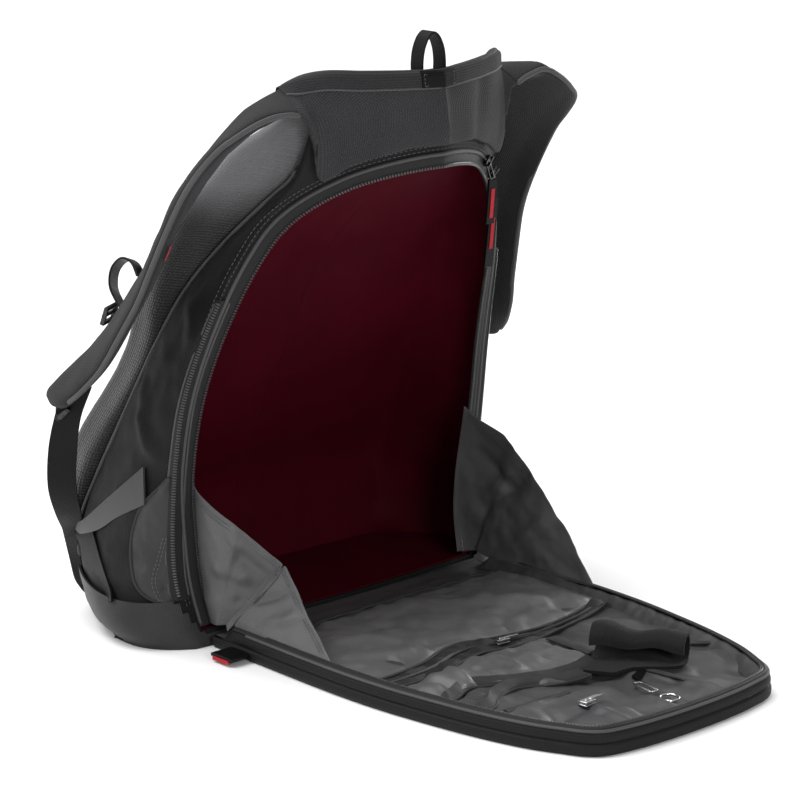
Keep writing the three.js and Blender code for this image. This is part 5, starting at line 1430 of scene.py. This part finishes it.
opening_edge = np.array([arch_place(share, -9, -3) for share in np.linspace(0, 0.5, 241)])
opening_edge = opening_edge[opening_edge[:, 2] > 18]
opening_edge = opening_edge[np.argsort(opening_edge[:, 2])]
for label, rows, seed in (("left", GUSSET_LEFT, 81), ("right", GUSSET_RIGHT, 83)):
    def gusset_place(u, v, rows=rows):
        """The first row follows the zip's edge up the body, and the rest fans out from the hinge."""
        a, b = linear_rows(rows, v)
        point = a + (b - a) * u
        near = max(0, 1 - v / 0.16)
        side = np.sign(rows[0][0])
        for axis, turned in ((0, side), (1, 1)):
            edge = np.interp(point[2], opening_edge[:, 2], opening_edge[:, axis]) * turned
            point[axis] += (edge - point[axis]) * near
        return point
    cloth = sheet_of(
        "gusset_cloth_" + label, 60, 96, gusset_place, folds=GUSSET_CREASES[label],
        rumples=[(40, 2.6, seed), (16, 1.2, seed + 1)],
        ends=lambda u, v: min(1, u / 0.2) * min(1, v / 0.08, (1 - v) / 0.05),
    )
    wall(cloth, 1.1, 0, 1)
    settle(cloth, gusset_cloth, "soft_nylon", "gusset_" + label, smooth=60)
    for inset, row in ((0.955, "outer"), (0.92, "inner")):
        line, faces = [], []
        for v in np.linspace(0.03, 0.97, 70):
            here = gusset_place(inset, v)
            across = np.cross(gusset_place(inset + 0.02, v) - here, gusset_place(inset, v + 0.01) - here)
            across /= np.linalg.norm(across)
            across *= np.sign(across @ np.array([-0.66, -0.7, 0.28])) or 1
            line.append(here + across * 0.9)
            faces.append(across)
        line, faces = np.array(line), np.array(faces)
        stitches(
            "gusset_stitch_%s_%s" % (row, label), line,
            lambda p, f=faces, l=line: f[np.argmin(((l - p) ** 2).sum(1))], 2.2, 3.6,
        )

# Hinge tab
# A short black tab folded round the corner of the hinge, with a plain red woven stripe.
red_thread = cloth_finish("red_thread", (0.2, 0.004, 0.01), (0.5, 0.015, 0.03), 1.1, 0.6, 0.02, 0.4)


def hinge_tab_place(u, v):
    return np.array([-173.8 + 20.3 * u, -38.4 - 25.6 * v, 4.6 + 0.8 * np.sin(np.pi * v)])


sewn("hinge_tab_cloth", 10, 14, hinge_tab_place, 2.6, -1, webbing_cloth, "red_tab", "hinge_tab")


def stripe_place(u, v):
    return np.array([-174.2, -41 - 20 * v, 2.2 + 3.2 * u])


sewn("hinge_tab_stripe", 4, 12, stripe_place, 0.8, 0, red_thread, "red_tab")

# Strap mark
# A plain red woven bar, sewn flat to the inner face of the left strap.


def strap_mark_place(u, v):
    a, b, normal, run = band_frame(strap_edges, 11.35 + 0.42 * v)
    across = (b - a) / np.linalg.norm(b - a)
    return (a + across * (1.2 + 5 * u) - normal * 7.6) * MIRROR


sewn("strap_mark", 4, 12, strap_mark_place, 0.6, 0, red_thread, "red_tab")

# Main sliders and pull tabs
# Two dark metal sliders sit at the top right of the zip, each with a puller and a woven tab
# that carries a plain red stripe.
dark_metal = plain_finish("dark_metal", (0.05, 0.05, 0.052), (0.14, 0.14, 0.145), 0.32, 300, 0.1, metal=1.0)
SLIDERS = [
    ("upper", 8.7, 96, 370.3, 38, 10.5, (8, 33)),
    ("lower", 7.95, 115, 349.5, 60, 7, (17, 44)),
]
arch_corners = [(OPENING_HALF_WIDTH * out, OPENING_TOP * up) for up, out in ARCH_ROWS]
for label, at, tab_x, tab_top, tab_length, off, red in SLIDERS:
    i = int(at)
    start, end = np.array(arch_corners[i]), np.array(arch_corners[i + 1])
    x, z = start + (end - start) * (at - i)
    run = np.array([end[0] - start[0], 0, end[1] - start[1]])
    run /= np.linalg.norm(run)
    out = np.array([run[2], 0, -run[0]])
    middle = np.array([x, 0, z]) + out * 4.5
    middle[1] = front_y_at(middle[0], middle[2]) - 5.2
    ahead = middle + run * 4
    run[1] = front_y_at(ahead[0], ahead[2]) - front_y_at(middle[0], middle[2])
    slider = moulded(
        "slider_" + label, middle, run, out,
        [(-6, 6, -4.4, 4.4, 1.0, 2.2), (-6, 6, -4.4, 4.4, -2.2, -1.0),
         (1, 5.4, -1.6, 1.6, -1.2, 1.2), (-3, 3, -1.2, 1.2, 2.0, 3.2)],
        0.5,
    )
    settle(slider, dark_metal, "zip_metal", "main_slider_" + label, smooth=30)
    top = np.array([tab_x, front_y_at(tab_x, tab_top) - off, tab_top])
    link = top - middle
    half = np.linalg.norm(link) / 2
    puller = moulded(
        "puller_" + label, middle + link / 2, link, (1, 0, 0),
        [(-half, half - 1, -2.4, -1.3, -0.9, 0.9), (-half, half - 1, 1.3, 2.4, -0.9, 0.9),
         (half - 2.2, half - 1, -2.4, 2.4, -0.9, 0.9), (-half, -half + 1.4, -2.4, 2.4, -0.9, 0.9)],
        0.4,
    )
    settle(puller, dark_metal, "zip_metal", smooth=30)

    def tab_place(u, v, lift=0.0, narrow=1.0, start=0.0, end=None, tab=(tab_x, tab_top, tab_length, off)):
        x0, z0, length, off = tab
        end = length if end is None else end
        z = z0 - start - (end - start) * v
        x = x0 + 9 * narrow * (u - 0.5)
        hang = front_y_at(x0, z0) * 0.6 + front_y_at(x0, z) * 0.4
        return np.array([x, hang - off - lift, z])
    sewn(
        "tab_cloth_" + label, 8, 30, lambda u, v: tab_place(1 - u, v),
        2.4, 0, webbing_cloth, "webbing", "pull_tab_" + label,
    )
    sewn(
        "tab_stripe_" + label, 4, 20, lambda u, v: tab_place(1 - u, v, 1.5, 0.4, red[0], red[1]),
        0.6, 0, red_thread, "red_tab",
    )

# Rolled strap
# A strip of hook-and-loop webbing is coiled on itself across the flap, its tongue loose.
roll_cloth = cloth_finish("roll_cloth", (0.0015, 0.0015, 0.0018), (0.01, 0.01, 0.0108), 1.4, 0.75, 0.05, 0.8)
ROLL_FROM, ROLL_TO = np.array([32, -270.4, 30.6]), np.array([72, -335.4, 30.6])
roll_axis = ROLL_TO - ROLL_FROM
roll_away = np.array([roll_axis[1], -roll_axis[0], 0])
roll_away /= np.linalg.norm(roll_away)
ROLL_ROWS = [
    (42, 0, 0.02, 0.34), (26, 0, 0.01, 0.5), (12, 0, 0, 0.94), (0, 0, 0, 1), (0, 40, 0, 1), (0, 80, 0, 1),
    (0, 120, 0, 1), (0, 160, 0, 1), (0, 200, 0, 1), (0, 240, 0, 1), (0, 275, 0, 1),
]
roll_rows = []
for aside, turn, start, end in ROLL_ROWS:
    angle = np.radians(turn)
    offset = roll_away * (aside - 13.5 * np.sin(angle)) + np.array([0, 0, -13.5 * np.cos(angle)])
    roll_rows.append((*(ROLL_FROM + roll_axis * start + offset), *(ROLL_FROM + roll_axis * end + offset)))


def roll_lumps(point):
    """The coil has been squashed and twisted in the hand, more so towards its far end."""
    share = (point - ROLL_FROM) @ roll_axis / (roll_axis @ roll_axis)
    middle = ROLL_FROM + roll_axis * share
    out = point - middle
    size = 1 + 0.14 * np.sin(7.5 * share + 0.6) - 0.2 * max(0, share - 0.25)
    squash = np.array([1, 1, 0.86 if out[2] > 0 else 1])
    sway = np.array([0, 0, 1.6 * np.sin(11 * share)]) * (out[2] > -6)
    return middle + out * (size if out @ out < 220 else 1) * squash + sway


roll = flat_band("rolled_strap_cloth", roll_rows, 2.6, roll_lumps, columns=24, steps=90)
settle(roll, roll_cloth, "webbing", "rolled_strap")

# Key holder
# A short strap, a bright snap clip and a split ring hang by the roll.
silver = plain_finish("silver_metal", (0.5, 0.5, 0.51), (0.72, 0.72, 0.73), 0.22, 260, 0.08, metal=1.0)
KEY_ROWS = [
    (49, -308.4, 15.2, 45, -318.4, 15.2), (34, -318.4, 15.2, 29, -328.4, 15.2),
    (20, -324.4, 15.2, 17, -334.4, 15.2),
]
key_band = flat_band("key_strap_cloth", KEY_ROWS, 1.8, lambda p: p, columns=6, steps=24)
settle(key_band, webbing_cloth, "webbing", "key_strap")
clip = moulded(
    "key_clip_frame", (10.8, -347.6, 15), (-5, -29, 0), (1, 0, 0),
    [(-13, -10, -3, 3, -1, 1), (10.5, 13, -3, 3, -1, 1),
     (-11, 12, -4.4, -2.6, -1, 1), (-11, 12, 2.6, 4.4, -1, 1)], 0.6,
)
settle(clip, silver, "silver_metal", "key_clip", smooth=30)
bpy.ops.object.select_all(action="DESELECT")
bpy.ops.mesh.primitive_torus_add(major_radius=0.0075, minor_radius=0.0011, major_segments=40, minor_segments=10)
key_ring = bpy.context.object
key_ring.name = "key_ring_wire"
for vertex in key_ring.data.vertices:
    vertex.co += Vector((np.array([6.93, -376.4, 15.0]) + PLACE) / 1000)
settle(key_ring, silver, "silver_metal", "key_ring", smooth=60)

# Small zips on the flap
# A short zip near the far end and the slider of the curved pocket zip, in silver metal.
SHORT_ZIP_ROWS = [
    (-57.8, -340.4, 14.6, -46.2, -340.4, 14.6), (-57.8, -370.4, 14.6, -46.2, -370.4, 14.6),
    (-60.8, -400.4, 14.6, -49.3, -400.4, 14.6),
]
short_band = flat_band("short_zip_tape", SHORT_ZIP_ROWS, 1.6, lambda p: p, columns=8, steps=30)
settle(short_band, zip_tape, "zip_tape", "short_zip")
line = smooth_line([(-52, -342, 16), (-52, -370, 16), (-55, -399, 16)], 40)
stud_row("short_zip_teeth", line, lambda p: (0, 0, 1), 1.3, 4.0, 1.2, 2.2, tooth_plastic, "zip_tape")
for name, centre, run, node in (
    ("pocket_slider_metal", (-2, -200.4, 18.8), (1, -0.1, 0), "pocket_slider"),
    ("short_zip_slider_metal", (-53, -346.4, 18.4), (1, 0.1, 0), "short_zip_slider"),
):
    piece = moulded(
        name, centre, run, (0, 1, 0),
        [(-6, 6, -4, 4, 0.6, 1.8), (-6, 6, -4, 4, -1.8, -0.8),
         (-3, 3, -1.2, 1.2, -1, 2.6), (2, 16, -2, 2, 1.8, 2.8)], 0.4,
    )
    settle(piece, silver, "silver_metal", node, smooth=30)
